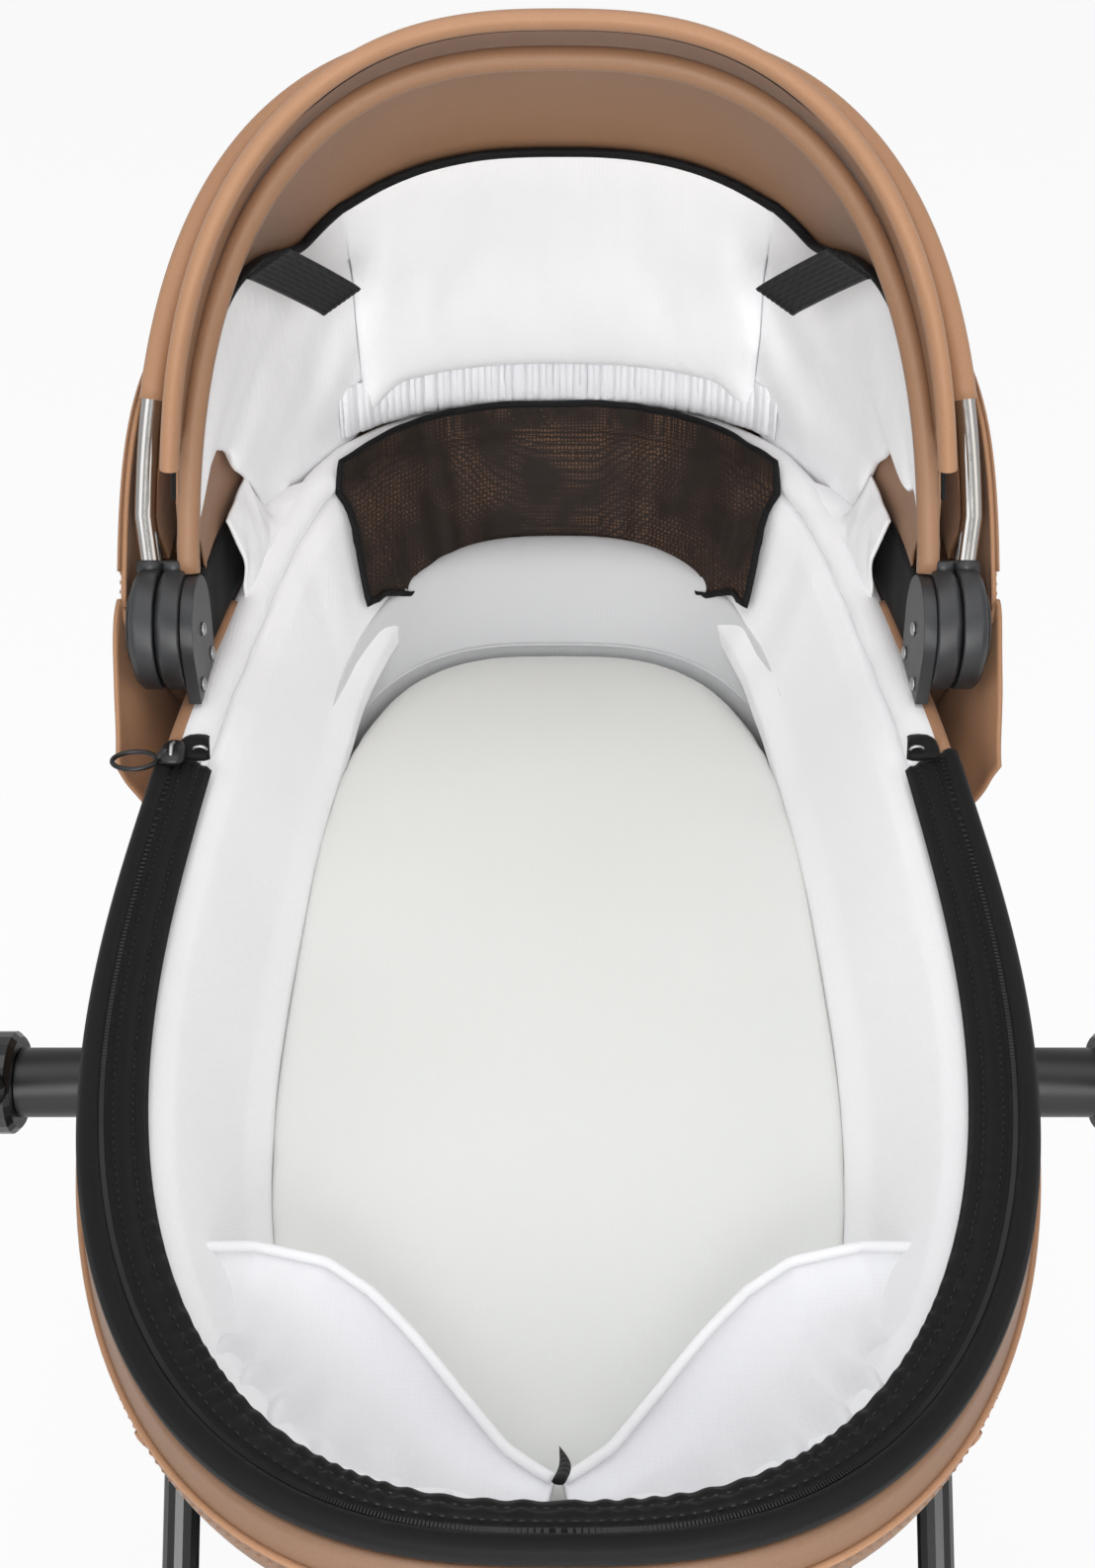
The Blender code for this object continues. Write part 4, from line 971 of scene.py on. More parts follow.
def makeHoodCovers():
    def rearEdge(x):
        return 46.0 + 11 * ease(abs(x), 0.222, 0.242)

    # name, layer, inner end from the axis, lower and upper edge in degrees, body, node
    covers = (("hood_rear_cover", 0, 0.012, lambda x: -9.0, rearEdge, "cot", "hood_rear_panel"),
              ("hood_mid_cover", 1, 0.056, lambda x: 15.0, lambda x: 57.0, "hood_mid", "hood_mid_panel"),
              ("hood_front_cover", 2, 0.056, lambda x: 25.0, frontEdge, "hood_front", "hood_front_panel"))
    for name, layer, inner, low, high, body, node in covers:
        limit = hoodLimit(layer, 0.0, inner)

        def cover(u, v, layer=layer, low=low, high=high, limit=limit):
            x = -limit * math.cos(math.pi * u)
            alpha = low(x) + (high(x) - low(x)) * v
            p = hoodPoint(x, alpha, layer)
            up = hoodUp(p)
            wave = waved(hoodShape["billow"], x * 9.0, alpha * 0.05, layer * 3.0)
            fine = waved(0.3 * hoodShape["billow"], x * 30.0, alpha * 0.2, 5.0)
            return p + up * (wave + fine - 0.0006)

        clothShell(name, cover, 150, 34, -hoodShape["thick"], hoodSkin, body, standsFor=(node,),
                   slotName="leatherette")
        for index, edge in enumerate((low, high)):
            if name == "hood_front_cover" and index == 1:
                continue
            inset = 0.8 if index == 0 else -0.8
            path = [hoodPoint(x, edge(x) + inset, layer, 0.0002) for x in acrossHood(limit, 160)]
            sweepPiece(f"{name}_binding_{index + 1}", path, hoodUp,
                       ovalSection(0.0034, 0.0011, 10), hoodInside, body, slotName="leatherette")
            seam = [hoodPoint(x, edge(x) + inset * 2.8, layer, -0.0004) for x in acrossHood(limit, 200)]
            stitches(f"{name}_stitching_{index + 1}", seam, hoodUp, 0.0034, 0.0018, 0.0010, hoodInside, body)


# The sleeve sewn round the steel bow
bowSleeve = {"angle": 67.0, "limit": 0.2033, "halfWidth": 0.2035, "reach": 0.2990, "power": 2.6, "atDrum": 0.0310}


def makeFrontEdge():
    limit = hoodLimit(2, -0.0030, 0.042)
    roll, piping, seam = [[hoodPoint(x, frontEdge(x) + turn, 2, lift) for x in acrossHood(limit, 240)]
                          for turn, lift in ((1.0, -0.0048), (-2.2, -0.0062), (-2.8, 0.0))]
    sweepPiece("hood_edge_roll", roll, hoodUp,
               lambda share: ovalRing(0.0074 + 0.0002 * math.sin(90 * share), 0.0052, 16), hoodSkin, "hood_front",
               standsFor=("hood_front_roll",), slotName="leatherette")
    sweepPiece("hood_edge_piping", piping, hoodUp, roundSection(0.0013, 8), zipTape, "hood_front", slotName="webbing")
    stitches("hood_edge_stitching", seam, hoodUp, 0.0034, 0.0018, 0.0010, hoodInside, "hood_front")

    b = bowSleeve
    sleeve = []
    for i, x in enumerate(acrossHood(b["limit"], 160)):
        fromEnd = min(i, 160 - i)
        reach = archReach(x, b["halfWidth"], b["reach"], b["power"])
        if fromEnd < 3:
            reach = b["atDrum"] + 0.0080 * fromEnd
        if fromEnd < 3 or reach > 0.047:
            sleeve.append(turnedOut(x, reach, b["angle"]))
    sweepPiece("bow_sleeve", sleeve, hoodUp, ovalSection(0.0064, 0.0062, 14), hoodInside, "hood_front",
               slotName="leatherette")


def makeInnerLining():
    limit = hoodLimit(2, -0.0050, 0.060)

    def brown(u, v):
        x = -limit * math.cos(math.pi * u)
        low = liningEdge(x) - 4.0
        low = low + (-3.0 - low) * ease(abs(x), 0.178, 0.187)
        alpha = low + (frontEdge(x) - 0.8 - low) * v
        p = hoodPoint(x, alpha, 2, -0.0050)
        soft = waved(0.0012, x * 16.0, alpha * 0.09, 2.0) * math.sin(math.pi * v)
        return p + hoodUp(p) * soft

    clothShell("hood_brown_lining", brown, 150, 30, -0.0014, hoodInside, "hood_front", slotName="leatherette")


# White lining at the back: a long pillow across the middle, a crease, and a cuff on each side
curtainShape = {"limit": 0.2015, "inset": 0.0085, "pillow": 0.0200, "pillowHalf": 0.128, "cuff": 0.0090}
# The gathered strip that joins the lining to the cot's head rim
stripShape = {"halfLength": 0.142, "inset": 0.0135, "low": -0.0005, "height": 0.034}


def curtainAt(x, v, lift=0.0):
    c = curtainShape
    low = 6.0 - 11.0 * ease(abs(x), 0.10, 0.16) + 60 * ease(abs(x), 0.185, 0.2035) ** 0.8
    high = max(liningEdge(x), low + 0.5)
    alpha = low + (high - low) * v
    middle = max(1 - (abs(x) / c["pillowHalf"]) ** 6, 0.0) ** 0.5
    side = math.sin(math.pi * min(max((abs(x) - c["pillowHalf"]) / (c["limit"] - c["pillowHalf"]), 0.0), 1.0)) ** 0.6
    roll = max(math.sin(math.pi * v ** 0.55), 0.0) ** 0.42
    along = max(math.sin(math.pi * v), 0.0) ** 0.6
    crease = (waved(0.0042, x * 20.0, alpha * 0.06, 4.0)
              + waved(0.0019, x * 55.0, alpha * 0.11, 8.0)) * along
    near = 1 - ease(abs(abs(x) - c["pillowHalf"] - 0.010), 0.0, 0.034)
    fold = 0.0034 * near * math.sin(alpha * 0.36 + abs(x) * 70.0) * along
    inward = c["inset"] + c["pillow"] * middle * roll + c["cuff"] * side * along + crease + fold + lift
    return hoodPoint(x, alpha, 2, -inward)


def makeCurtain():
    limit = curtainShape["limit"]

    def placeAcross(u):
        return -limit * math.cos(math.pi * (0.06 + 0.88 * u)) / math.cos(math.pi * 0.06)

    def white(u, v):
        return curtainAt(placeAcross(u), v)

    bend = ("cot", "hood_front", (0, hoodY + 0.286, hoodZ + 0.026), (0, hoodY + 0.186, hoodZ + 0.126))
    curtain = clothShell("hood_white_lining", white, 260, 60, -0.0020, cotton, bend, standsFor=("hood_curtain",),
                         slotName="cotton")
    edge = [white(i / 240, 0.995) for i in range(241)]
    sweepPiece("lining_edge_tape", edge, hoodUp,
               ovalSection(0.0040, 0.0028, 12), zipTape, bend, slotName="webbing")
    row = [curtainAt(placeAcross(i / 300), 0.955, 0.0004) for i in range(301)]
    stitches("lining_stitching", row, lambda p: -hoodUp(p), 0.0030, 0.0018, 0.0009, shadedGatheredCotton, bend)

    def strip(u, v):
        x = stripShape["halfLength"] * (2 * u - 1)
        p = hoodPoint(x, 0.0, 2, -stripShape["inset"])
        gather = 0.0022 * math.sin(u * 150 + 3.0 * math.sin(u * 31)) + 0.0012 * math.sin(u * 390)
        gather *= 0.35 + 0.65 * v
        z = hoodZ + stripShape["low"] + stripShape["height"] * v
        return Vector((x, p.y + gather - 0.004 * math.sin(math.pi * v), z))

    skirt = clothShell("gathered_strip", strip, 420, 16, -0.0012, shadedGatheredCotton, "cot", slotName="cotton")
    declareSheet(skirt)


def resample(path, count):
    lengths = [0.0]
    for a, b in zip(path, path[1:]):
        lengths.append(lengths[-1] + (b - a).length)
    result, i = [], 0
    for k in range(count):
        want = lengths[-1] * k / (count - 1)
        while i < len(path) - 2 and lengths[i + 1] < want:
            i += 1
        t = (want - lengths[i]) / max(lengths[i + 1] - lengths[i], 1e-9)
        result.append(path[i].lerp(path[i + 1], min(t, 1.0)))
    return result


# The hood's apron hangs over the outside of the tub; white wings close the sides above the rim, and a black sheet
# beside each hub fills the gap there as painted shade
apronShape = {
    "hemLevel": 0.70,         # share of the tub's height at which the apron ends
    "shade_sheet": (0.012, 0.116, 0.044),  # start and end past the hood's axis, and height
    "wing": (0.094, 0.218, 0.052),
    "wingTop": (0.1950, 0.1750),      # X of the wing's upper edge at its two ends
}


def makeApron():
    sideX = hoodShape["halfWidth"] - 0.0006
    ahead = [Vector((sideX - 0.0050 * (1 - t) ** 2, hoodY - 0.066 + 0.076 * t,
                     rimZ - 0.006 + 0.060 * ease(t, 0.0, 1.0))) for t in shares(12)]
    limit = hoodLimit(0, 0.0, 0.060)
    back = [hoodPoint(limit * math.cos(math.pi * i / 90), -5.0, 0, -0.0035) for i in range(91)]
    top = resample(ahead + back + [Vector((-p.x, p.y, p.z)) for p in reversed(ahead)], 261)
    turns = headTurns(turnAt(hoodY - 0.058), 260)
    bottom = resample([tubPoint(t, apronShape["hemLevel"], -0.0042) for t in turns], 261)

    def apron(u, v):
        i = min(int(round(u * 260)), 260)
        p = top[i].lerp(bottom[i], v)
        out = Vector((p.x, max(p.y - hoodY, 0.0) * 0.9, 0)).normalized()
        puff = 0.0030 * math.sin(math.pi * v) + waved(0.0012, u * 24.0, v * 3.0, 6.0)
        return p + out * puff

    clothShell("hood_apron", apron, 260, 24, 0.0022, hoodSkin, "cot", slotName="leatherette")
    hem = [apron(i / 260, 0.985) for i in range(261)]
    sweepPiece("hood_apron_hem", hem, upwardZ, ovalSection(0.0018, 0.0040, 10), hoodInside, "cot",
               slotName="leatherette")
    for side, sign in leftAndRight:
        # painted shade: a black sheet from the rim up towards the hood, standing in for the shaded gap beside the hub
        def shade_sheet(u, v, sign=sign):
            start, end, height = apronShape["shade_sheet"]
            p = rimPoint(turnAt(hoodY + start + (end - start) * u), 0.0035, 0.002)
            return Vector((sign * (p.x + 0.004 * v), p.y, p.z + height * v))

        def wing(u, v, sign=sign):
            start, end, height = apronShape["wing"]
            low = rimPoint(turnAt(hoodY + start + (end - start) * u), 0.0120, 0.002)
            x = apronShape["wingTop"][0] + (apronShape["wingTop"][1] - apronShape["wingTop"][0]) * u
            high = curtainAt(x, 0.03, 0.0012)
            high = Vector((x, high.y, min(high.z, low.z + height)))
            p = low.lerp(high, v)
            soft = 0.0040 * math.sin(math.pi * v) + waved(0.0022, u * 9.0, v * 3.0, 2.0)
            return Vector((sign * (p.x - soft), p.y, p.z))

        clothShell(f"hood_gusset_{side}", shade_sheet, 24, 8, 0.0014 * sign, webbing, "cot", slotName="webbing")
        clothShell(f"hood_lining_wing_{side}", wing, 60, 24, 0.0016 * sign, cotton, "cot", slotName="cotton")


# Retaining straps, laid over the lining on each side
strapShape = {"outer": (0.156, 66.0, -0.0270), "inner": (0.129, 33.5, -0.0390), "half": 0.0135}   # x, angle, lift


def makeStraps():
    for side, sign in leftAndRight:
        a, b = [hoodPoint(sign * x, alpha, 2, lift) for x, alpha, lift in (strapShape["outer"], strapShape["inner"])]

        def strap(u, v, a=a, b=b):
            p = a.lerp(b, u)
            up = hoodUp(p)
            across = up.cross((b - a).normalized()).normalized()
            bow = 0.0008 * math.sin(math.pi * u)
            dip = 0.0010 * (1 - math.exp(-30 * u)) * (1 - math.exp(-30 * (1 - u)))
            return p + across * (strapShape["half"] * (2 * v - 1)) + up * (bow + dip + 0.0003 * math.cos(v * 50))

        band = clothShell(f"hood_strap_web_{side}", strap, 40, 24, 0.0016, webbing, "hood_front",
                          standsFor=(f"hood_strap_{side}",), slotName="webbing")
        declareSheet(band)


makeNet()
makeHoodCovers()
makeFrontEdge()
makeInnerLining()
makeCurtain()
makeApron()
makeStraps()
print("hood made")


def lathePiece(name, centre, profile, steps, material, body, carve=None, **more):
    # a closed profile of (along X, radius) turned about the X axis; carve gives the radius taken off there
    points = []
    for i in range(steps):
        turn = i / steps
        a = 2 * math.pi * turn
        for along, radius in profile:
            r = radius - (carve(along, radius, turn) if carve else 0.0)
            points.append(centre + Vector((along, r * math.cos(a), r * math.sin(a))))
    return addPiece(name, points, ringFaces(steps, len(profile), True), material, body, **more)


def discPiece(name, centre, out, profile, material, body, steps=32, **more):
    # a turned cap, screw or washer; profile of (along out, radius), from the back to the front
    out = out.normalized()
    side = out.orthogonal().normalized()
    other = out.cross(side)
    points = []
    for along, radius in profile:
        for i in range(steps):
            a = 2 * math.pi * i / steps
            points.append(centre + out * along + (side * math.cos(a) + other * math.sin(a)) * radius)
    return addPiece(name, points, ringFaces(len(profile), steps), material, body, **more)


def dress(names, material, edge=0.0):
    # CAD nodes carried over as they are: material, welded corners and eased edges
    for name in names:
        piece = nodes[name]
        piece.data.materials.clear()
        piece.data.materials.append(material)
        for polygon in piece.data.polygons:
            polygon.use_smooth = True
        if edge:
            weld = piece.modifiers.new("weld", "WELD")
            weld.merge_threshold = 0.00002
            bevel = piece.modifiers.new("edges", "BEVEL")
            bevel.width = edge
            bevel.segments = 2
            bevel.limit_method = "ANGLE"
            bevel.angle_limit = math.radians(38)
            piece.modifiers.new("normals", "WEIGHTED_NORMAL").keep_sharp = False


def bothSides(*names):
    return [f"{name}_{side}" for name in names for side in ("left", "right")]


dress(bothSides("hood_drum_inner", "hood_drum_outer"), blackMoulding, 0.0011)
dress(bothSides("hood_bracket", "cot_adapter", "caster_housing", "caster_fork", "height_collar"), blackMoulding,
      0.0008)
dress(["cot_crossbar", "brake_pedal"], blackMoulding, 0.0012)
dress(bothSides("side_hub"), glossMoulding, 0.0009)
dress(bothSides("front_leg", "rear_leg", "handle_arm") + ["handle_bar", "front_cross_tube", "basket_rail"], blackTube)
dress(["rear_axle", "hood_front_bow"], zincSteel)
dress(["base_board"], boardWood, 0.0010)


# Polished carry handle on the outer drums
carryShape = {"radius": 0.006, "lean": 59.0, "power": 2.8, "sleeveFrom": 0.125}


def makeCarryHandle():
    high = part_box("carry_handle")[1]
    radius = carryShape["radius"]
    halfWidth = high.x - radius - 0.0035
    lean = math.radians(carryShape["lean"])
    reach = (high.z - radius * 1.2 - hoodZ) / math.sin(math.radians(60))
    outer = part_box("hood_drum_outer_right")
    footX = (outer[0].x + outer[1].x) / 2
    ahead = Vector((0, math.cos(lean), math.sin(lean)))
    foot = [Vector((footX, hoodY, hoodZ)) + ahead * d for d in (0.0300, 0.0370)]
    arch = []
    for x in acrossHood(halfWidth * 0.9987, 140):
        r = archReach(x, halfWidth, reach, carryShape["power"])
        if r > 0.060:
            arch.append(Vector((x, hoodY, hoodZ)) + ahead * r)
    left = [Vector((-p.x, p.y, p.z)) for p in foot]
    bends = [left[-1].lerp(arch[0], t) for t in (0.35, 0.7)]
    path = left + bends + arch + [Vector((-p.x, p.y, p.z)) for p in reversed(bends)] + foot[::-1]
    sweepPiece("carry_tube", path, hoodUp, roundSection(radius, 18), brightTube, "hood_mid",
               standsFor=("carry_handle",), slotName="chrome_tube")
    wrapped = [p for p in arch if (p - Vector((p.x, hoodY, hoodZ))).length > carryShape["sleeveFrom"]]
    sweepPiece("carry_sleeve", wrapped, hoodUp, roundSection(radius + 0.0013, 18), hoodSkin, "hood_mid",
               slotName="leatherette")
    seam = [p - hoodUp(p) * (radius + 0.0012) for p in wrapped]
    stitches("carry_sleeve_stitching", seam, lambda p: -hoodUp(p), 0.0036, 0.0018, 0.0010, hoodInside, "hood_mid")


# Hub trim: a domed cap with a pivot screw, rivets on the bracket, and sockets where the bow and the tube enter
hubTrim = {               # profiles of (out, radius)
    "cap": [(0.0, 0.0235), (0.0022, 0.0230), (0.0034, 0.0205), (0.0036, 0.0120), (0.0030, 0.0115)],
    "screw": [(0.0, 0.0062), (0.0014, 0.0060), (0.0022, 0.0046), (0.0014, 0.0030), (0.0012, 0.0004)],
    "rivet": [(0.0, 0.0040), (0.0012, 0.0036), (0.0019, 0.0022), (0.0021, 0.0003)],
    "rivetPlaces": ((-0.0165, -0.0255), (0.0165, -0.0255), (0.0, 0.0)),
    "bowSocket": (67.0, 0.0062),      # angle and radius
    "tubeSocket": (60.0, 0.0082),
}


def makeHubTrim():
    for side, sign in leftAndRight:
        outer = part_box(f"hood_drum_outer_{side}")
        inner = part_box(f"hood_drum_inner_{side}")
        outX = max(abs(outer[0].x), abs(outer[1].x))
        inX = min(abs(inner[0].x), abs(inner[1].x))
        plateX = min(abs(c.x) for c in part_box(f"hood_bracket_{side}"))
        centre = Vector((0, hoodY, hoodZ))
        outward, inward = Vector((sign, 0, 0)), Vector((-sign, 0, 0))
        face = centre + outward * (outX + 0.0001)
        discPiece(f"hub_cap_{side}", face, outward, hubTrim["cap"], glossMoulding, "hood_mid", slotName="plastic")
        discPiece(f"hub_screw_{side}", face + outward * 0.0030, outward, hubTrim["screw"], zincSteel, "hood_mid", 24,
                  slotName="steel")
        for index, (dy, dz) in enumerate(hubTrim["rivetPlaces"]):
            spot = centre + outward * (plateX - 0.0001) + Vector((0, dy, dz))
            discPiece(f"bracket_rivet_{side}_{index + 1}", spot, inward, hubTrim["rivet"], zincSteel, "cot", 20,
                      slotName="steel")
        for body, x, (angle, size) in (("hood_front", inX + 0.0068, hubTrim["bowSocket"]),
                                       ("hood_mid", outX - 0.0068, hubTrim["tubeSocket"])):
            a = math.radians(angle)
            ahead = Vector((0, math.cos(a), math.sin(a)))
            root = centre + outward * x + ahead * 0.0300
            discPiece(f"{body}_socket_{side}", root, ahead,
                      [(0.0, size), (0.0060, size), (0.0076, size - 0.0008), (0.0078, size - 0.0030)], blackMoulding,
                      body, 24, slotName="plastic")


# Zip slider and its ring pull
sliderShape = {
    "halfWidth": 0.0066,
    "halfLength": 0.0098,
    "power": 0.6,
    "levels": ((0.0, -0.0006), (0.0006, 0.0002), (0.0020, 0.0004), (0.0034, -0.0002), (0.0046, -0.0014)),
    "wire": 0.00135,          # radius of the ring
}     # each level is a height and what is added to the outline there


def makeSlider():
    s = sliderShape
    low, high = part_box("zip_slider")
    middle = (low + high) / 2
    slider = []
    for level, grow in s["levels"]:
        ring = []
        for i in range(28):
            a = 2 * math.pi * i / 28
            across, ahead = squareTurn(a, s["power"])
            pinch = 1 - 0.22 * ease(math.sin(a), 0.0, 1.0)
            ring.append(Vector((middle.x + (s["halfWidth"] + grow) * pinch * across,
                                middle.y + (s["halfLength"] + grow) * ahead, low.z + level)))
        slider += ring
    addPiece("slider_body", slider, ringFaces(5, 28), zipEnamel, "zip", standsFor=("zip_slider",),
             slotName="zip_metal")
    bridge = [Vector((middle.x, middle.y - 0.0060 + 0.0120 * t, low.z + 0.0040 + 0.0032 * math.sin(math.pi * t)))
              for t in shares(12)]
    sweepPiece("slider_bridge", bridge, lambda p: Vector((1, 0, 0)), roundSection(0.0011, 10), zincSteel, "zip",
               slotName="zip_metal")
    pullLow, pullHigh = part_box("zip_pull")
    centre = (pullLow + pullHigh) / 2
    half = (pullHigh - pullLow) / 2
    loop = [centre + Vector((x, y, 0.0)) for x, y in ovalRing(half.x - 0.0012, half.y - 0.0012, 48)]
    sweepPiece("pull_ring", loop, upwardZ, roundSection(s["wire"], 10), zipEnamel, "zip", closed=True,
               standsFor=("zip_pull",), slotName="zip_metal")
    tail = [Vector((centre.x + half.x - 0.002, centre.y + 0.001, centre.z)).lerp(
        Vector((middle.x - 0.003, middle.y, low.z + 0.0052)), t / 6) for t in range(7)]
    sweepPiece("pull_link", tail, upwardZ, ovalSection(0.0022, 0.0008, 10), zipEnamel, "zip", slotName="zip_metal")


def bothWays(right, before=(), between=()):
    # a closed profile from its right half, with the points between the two halves
    left = [(-along, r) for along, r in reversed(right)]
    return left[-1:] + list(before) + right + list(between) + left[:-1]


# Foam tyres with a siped tread, on moulded five and seven spoke wheels with a turned hub cap
wheelShape = {
    "rear": {"spokes": 7, "hubRadius": 0.0240, "bore": 0.0125, "tread": 48},
    "front": {"spokes": 5, "hubRadius": 0.0160, "bore": 0.0065, "tread": 36},
    "tyreDepth": 0.0255,
    "sipeDepth": 0.0016,
    "ribDepth": 0.0018,       # the two grooves round the middle of the tread
    "spokeHalfWidth": 0.0062,
}


def makeWheel(kind, side, sign):
    spokes, hubRadius, bore, tread = [wheelShape[kind][key] for key in ("spokes", "hubRadius", "bore", "tread")]
    body = f"{kind}_wheel_body_{side}"
    low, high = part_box(f"{kind}_tyre_{side}")
    centre, radius, half = (low + high) / 2, (high.z - low.z) / 2, (high.x - low.x) / 2
    seat = radius - wheelShape["tyreDepth"]

    def sipes(along, r, turn):
        if r < radius - 0.0065:
            return 0.0
        step = (turn * tread + (0.5 if along > 0 else 0.0) + abs(along) * 18) % 1.0
        groove = wheelShape["sipeDepth"] if step < 0.22 else 0.0
        rib = wheelShape["ribDepth"] if 0.0016 < abs(along) < 0.0036 else 0.0
        return max(groove, rib)

    section = bothWays([(half * 0.70, seat), (half * 0.90, seat + 0.0035), (half * 0.99, seat + 0.0100),
                        (half * 0.97, radius - 0.0100), (half * 0.84, radius - 0.0040),
                        (half * 0.60, radius - 0.0012), (half * 0.30, radius - 0.0002), (0.0030, radius),
                        (0.0020, radius)],
                       before=[(0.0, seat - 0.0024)])
    lathePiece(f"{kind}_tyre_tread_{side}", centre, section, tread * 6, tyreFoam, body, sipes,
               standsFor=(f"{kind}_tyre_{side}",), slotName="tyre")
    rim = bothWays([(half * 0.73, seat - 0.0085), (half * 0.76, seat - 0.0070), (half * 0.76, seat - 0.0014),
                    (half * 0.66, seat - 0.0006)], between=[(0.0, seat - 0.0032)])
    lathePiece(f"{kind}_wheel_rim_{side}", centre, rim, 120, blackMoulding, body, standsFor=(f"{kind}_wheel_{side}",),
               slotName="plastic")
    hub = bothWays([(half, bore), (half, hubRadius - 0.0030), (half - 0.0012, hubRadius - 0.0010),
                    (half - 0.0040, hubRadius)])
    lathePiece(f"{kind}_wheel_hub_{side}", centre, hub, 48, blackMoulding, body, slotName="plastic")
    narrow = wheelShape["spokeHalfWidth"]
    points, faces = [], []
    for i in range(spokes):
        a = 2 * math.pi * i / spokes + math.pi / 2
        out = Vector((0, math.cos(a), math.sin(a)))
        across = Vector((0, -math.sin(a), math.cos(a)))
        base = len(points)
        for j in range(13):
            t = j / 12
            dist = (hubRadius - 0.0020) + (seat - 0.0080 - hubRadius + 0.0020) * t
            wide = narrow + (hubRadius * 0.42 - narrow) * (1 - t) ** 2.2 + 0.0050 * t ** 4
            thick = half * (0.56 - 0.16 * math.sin(math.pi * t))
            for k in range(16):
                c, s = squareTurn(2 * math.pi * k / 16, 0.5)
                points.append(centre + out * dist + across * wide * c + Vector((thick * s, 0, 0)))
        faces += [tuple(base + q for q in face) for face in ringFaces(13, 16)]
    addPiece(f"{kind}_wheel_spokes_{side}", points, faces, blackMoulding, body, slotName="plastic")
    if kind == "rear":
        discPiece(f"rear_hub_cap_{side}", centre + Vector((sign * (half + 0.0002), 0, 0)), Vector((sign, 0, 0)),
                  [(0.0, 0.0185), (0.0030, 0.0180), (0.0052, 0.0150), (0.0058, 0.0060), (0.0050, 0.0010)],
                  glossMoulding, body, 40, slotName="plastic")


def makeGrip():
    low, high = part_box("handle_grip")
    centre, half = (low + high) / 2, (high.x - low.x) / 2
    radius = (high.y - low.y) / 2
    profile = [(-half, radius - 0.0050), (-half, radius - 0.0025), (-half + 0.0020, radius - 0.0004)]
    profile += [(-half + 0.006 + (2 * half - 0.012) * i / 60, radius - 0.0002) for i in range(61)]
    profile += [(half - 0.0020, radius - 0.0004), (half, radius - 0.0025), (half, radius - 0.0050)]
    lathePiece("grip_wrap", centre, profile, 40, hoodSkin, "handle_upper",
               lambda along, r, turn: 0.0004 * (1 + waved(1.0, along * 40, turn * 5, 1)),
               standsFor=("handle_grip",), slotName="leatherette")
    line = [centre + Vector((-half + 0.008 + (2 * half - 0.016) * i / 120, -0.0040, -radius + 0.0005))
            for i in range(121)]
    stitches("grip_stitching", line, lambda p: Vector((0, 0, -1)), 0.0042, 0.0020, 0.0011, hoodInside, "handle_upper")
    for side, sign in leftAndRight:
        discPiece(f"grip_end_ring_{side}", centre + Vector((sign * (half - 0.0065), 0, 0)), Vector((sign, 0, 0)),
                  [(0.0, radius - 0.0015), (0.0008, radius + 0.0003), (0.0050, radius + 0.0003),
                   (0.0058, radius - 0.0015)], blackMoulding, "handle_upper", 40, slotName="plastic")


# Hanging basket in black woven cloth: it bellies between the rail and a stiff floor
basketShape = {
    "power": 3.6,
    "floorShare": 0.30,       # share of the cloth that lies on the floor
    "inset": 0.032,           # of the floor's edge from the rail
    "sag": 0.0035,
    "pleat": 0.0014,
    "pleats": 36,
    "loops": (0.0, 0.12, 0.25, 0.38, 0.5, 0.62, 0.75, 0.88),   # turns round the rail
}


def makeBasket():
    b = basketShape
    low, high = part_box("basket")
    mid, half = (low + high) / 2, (high - low) / 2
    railLow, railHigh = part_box("basket_rail")

    def egg(turn, w, l, z):
        c, s = squareTurn(2 * math.pi * turn, 2 / b["power"])
        return Vector((mid.x + w * c, mid.y + l * s, z))

    def cloth(u, v):
        if v < b["floorShare"]:
            t = v / b["floorShare"]
            p = egg(u, (half.x - b["inset"]) * t + 0.0015, (half.y - b["inset"]) * t + 0.0015, low.z + 0.0010)
            return p + Vector((0, 0, waved(0.0012, *(p * 22.0))))
        t = (v - b["floorShare"]) / (1 - b["floorShare"])
        inset = b["inset"] * (1 - t) ** 1.8 + 0.0022
        z = low.z + 0.0010 + (high.z - low.z - 0.0016) * t
        p = egg(u, half.x - inset, half.y - inset, z)
        out = Vector((p.x - mid.x, p.y - mid.y, 0)).normalized()
        sag = b["sag"] * math.sin(math.pi * t) * (1 + waved(0.6, u * 14, t * 2, 0))
        pleat = b["pleat"] * t * math.sin(u * 2 * math.pi * b["pleats"] + 1.5 * math.sin(u * 25))
        return p - out * (sag + pleat)

    bag = clothShell("basket_bag", cloth, 288, 46, 0.0014, webbing, "front_frame", wrap=True,
                     standsFor=("basket",), slotName="webbing")
    declareSheet(bag)
    hem = [egg(i / 200, half.x - 0.0030, half.y - 0.0030, high.z - 0.0120) for i in range(200)]
    sweepPiece("basket_hem", hem, upwardZ, ovalSection(0.0016, 0.0075, 10), zipTape, "front_frame", closed=True,
               slotName="webbing")
    for index, turn in enumerate(b["loops"]):
        hook = egg(turn, half.x - 0.0005, half.y - 0.0005, (railLow.z + railHigh.z) / 2)
        out = Vector((hook.x - mid.x, hook.y - mid.y, 0)).normalized()
        loop = [hook - out * 0.0025 + out * 0.0085 * math.cos(a) + Vector((0, 0, 0.0085 * math.sin(a) - 0.001))
                for a in [2 * math.pi * k / 24 for k in range(24)]]
        across = Vector((-out.y, out.x, 0))
        sweepPiece(f"basket_loop_{index + 1}", loop, lambda p, across=across: across,
                   ovalSection(0.0007, 0.0090, 8), webbing, "front_frame", closed=True, slotName="webbing")


makeCarryHandle()
makeHubTrim()
makeSlider()
for side, sign in leftAndRight:
    makeWheel("rear", side, sign)
    makeWheel("front", side, sign)
makeGrip()
makeBasket()
print("hubs, wheels, grip and basket made")


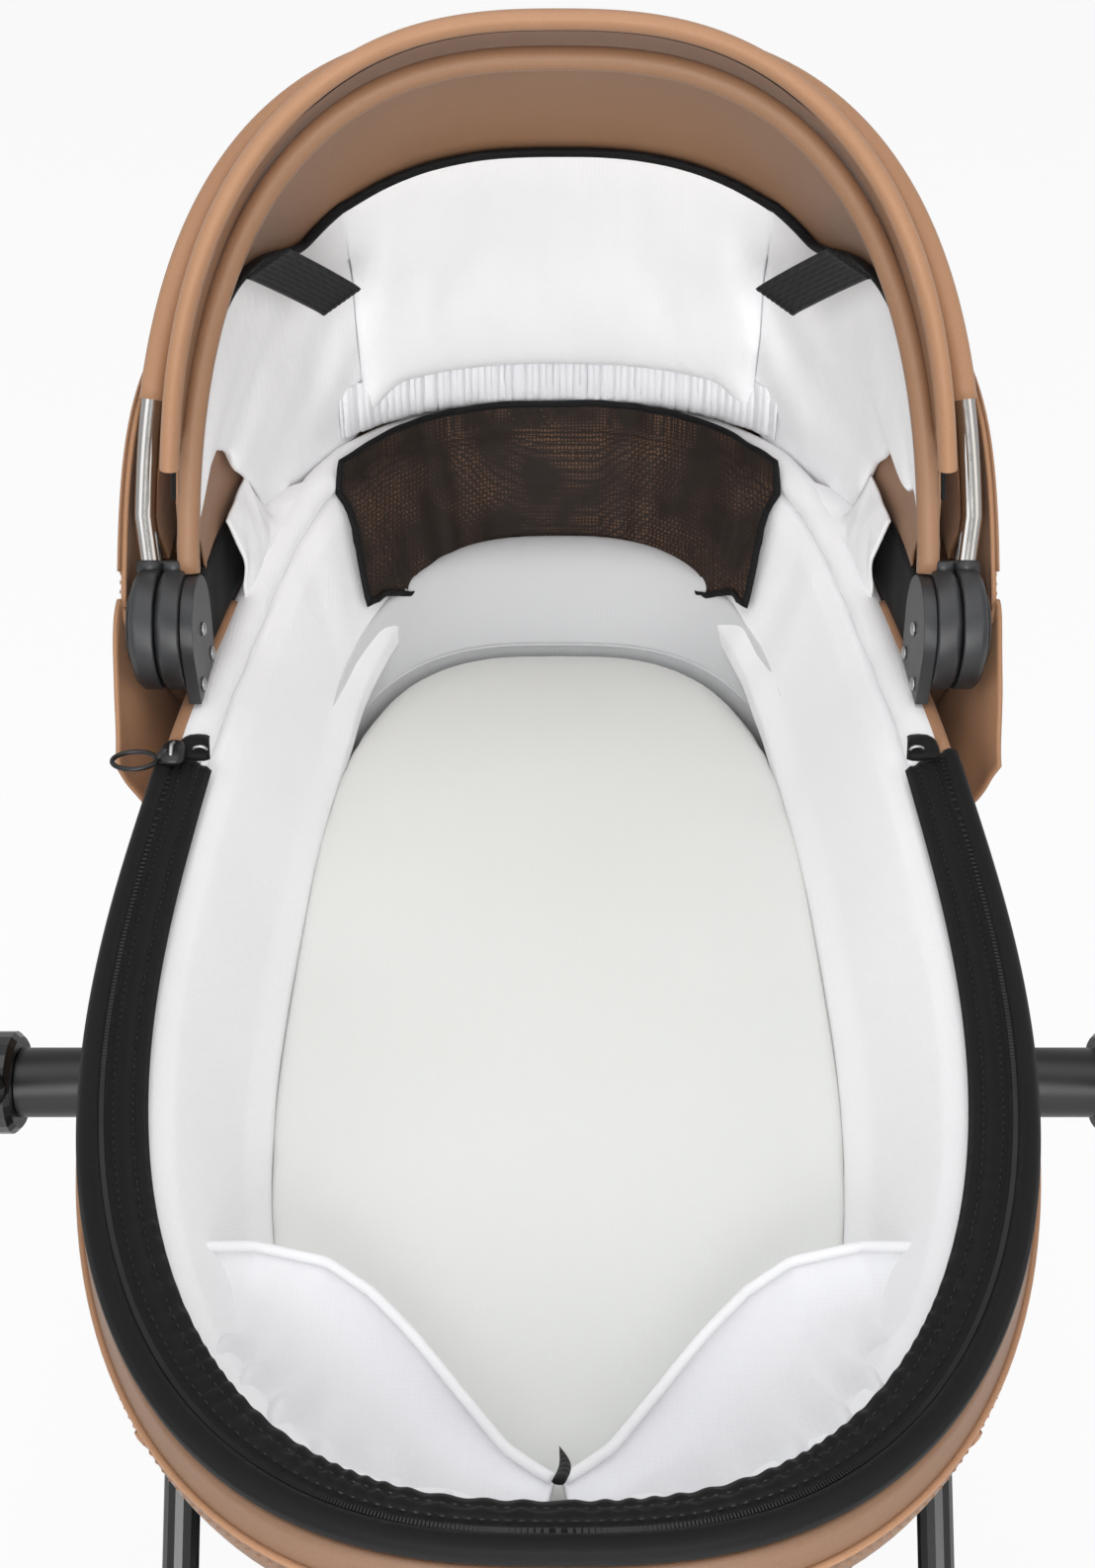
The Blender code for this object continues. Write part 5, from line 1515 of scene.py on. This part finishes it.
# Stage: pale floor that is white to the camera, white surround, big soft lamps
def makeFloor():
    material, surface, spot = newMaterial("studio floor", {"Roughness": 0.85})
    paint(material, surface, noiseAt(material, spot, 1.2), "#F1F1F1", "#F4F4F4")
    white = addNode(material, "ShaderNodeEmission", None, {"Color": colour("#FFFFFF"), "Strength": 1.0})
    path = addNode(material, "ShaderNodeLightPath")
    share = calculate(material, "MULTIPLY", path.outputs["Is Camera Ray"], 0.88)
    mix = addNode(material, "ShaderNodeMixShader", None,
                  {0: share, 1: surface.outputs["BSDF"], 2: white.outputs["Emission"]})
    join(material, mix.outputs["Shader"], material.node_tree.nodes["Material Output"].inputs["Surface"])
    mesh = bpy.data.meshes.new("floor")
    mesh.from_pydata([(-14, -14, 0), (14, -14, 0), (14, 14, 0), (-14, 14, 0)], [], [(0, 1, 2, 3)])
    mesh.materials.append(material)
    floor = bpy.data.objects.new("floor", mesh)
    bpy.context.scene.collection.objects.link(floor)


def makeWorld():
    # grey light on the pram, white to the camera
    world = bpy.data.worlds.new("surround")
    world.use_nodes = True
    bpy.context.scene.world = world
    background = world.node_tree.nodes["Background"]
    path = addNode(world, "ShaderNodeLightPath")
    seen = blendColours(world, path.outputs["Is Camera Ray"], (0.57, 0.575, 0.58, 1.0), (1.0, 1.0, 1.0, 1.0))
    join(world, seen, background.inputs["Color"])
    background.inputs["Strength"].default_value = 1.0


def addLamp(name, place, target, size, power, tint):
    lamp = bpy.data.lights.new(name, "AREA")
    lamp.shape = "DISK"
    lamp.size = size
    lamp.energy = power
    lamp.color = colour(tint)[:3]
    holder = bpy.data.objects.new(name, lamp)
    bpy.context.scene.collection.objects.link(holder)
    holder.location = place
    holder.rotation_euler = (Vector(target) - Vector(place)).to_track_quat("-Z", "Y").to_euler()


# Fitted to the photo: focal length, picture height and shift in its pixels, place in metres, tilt in degrees
cameraView = {"focal": 1961, "height": 1586, "shift": -11, "sensor": 24.0, "place": (0.0, -0.6817, 1.2900),
              "tilt": 35.29}


def makeCamera():
    c = cameraView
    camera = bpy.data.cameras.new("camera")
    camera.sensor_fit = "VERTICAL"
    camera.sensor_height = c["sensor"]
    camera.lens = c["sensor"] * c["focal"] / c["height"]
    camera.shift_x = c["shift"] / c["height"]
    camera.clip_start = 0.01
    holder = bpy.data.objects.new("camera", camera)
    bpy.context.scene.collection.objects.link(holder)
    holder.location = c["place"]
    holder.rotation_euler = (math.radians(90 - c["tilt"]), 0.0, 0.0)
    bpy.context.scene.camera = holder


# name, place, target, size in metres, power in watts, tint
lamps = (("overhead lamp", (0.0, -0.1, 3.0), (0, 0.15, 0.6), 2.6, 23, "#FFFFFF"),
         ("front lamp", (0.0, -2.5, 1.35), (0, 0.45, 0.85), 2.0, 60, "#FFFFFF"),
         ("left lamp", (-2.0, -1.2, 2.2), (0, 0.2, 0.6), 1.6, 8, "#F8FAFF"),
         ("right lamp", (2.2, -1.0, 2.1), (0, 0.2, 0.6), 1.6, 6, "#FFFBF6"))
makeFloor()
makeWorld()
for lamp in lamps:
    addLamp(*lamp)
makeCamera()
bpy.context.scene.view_settings.view_transform = "Standard"

print("stage ready")
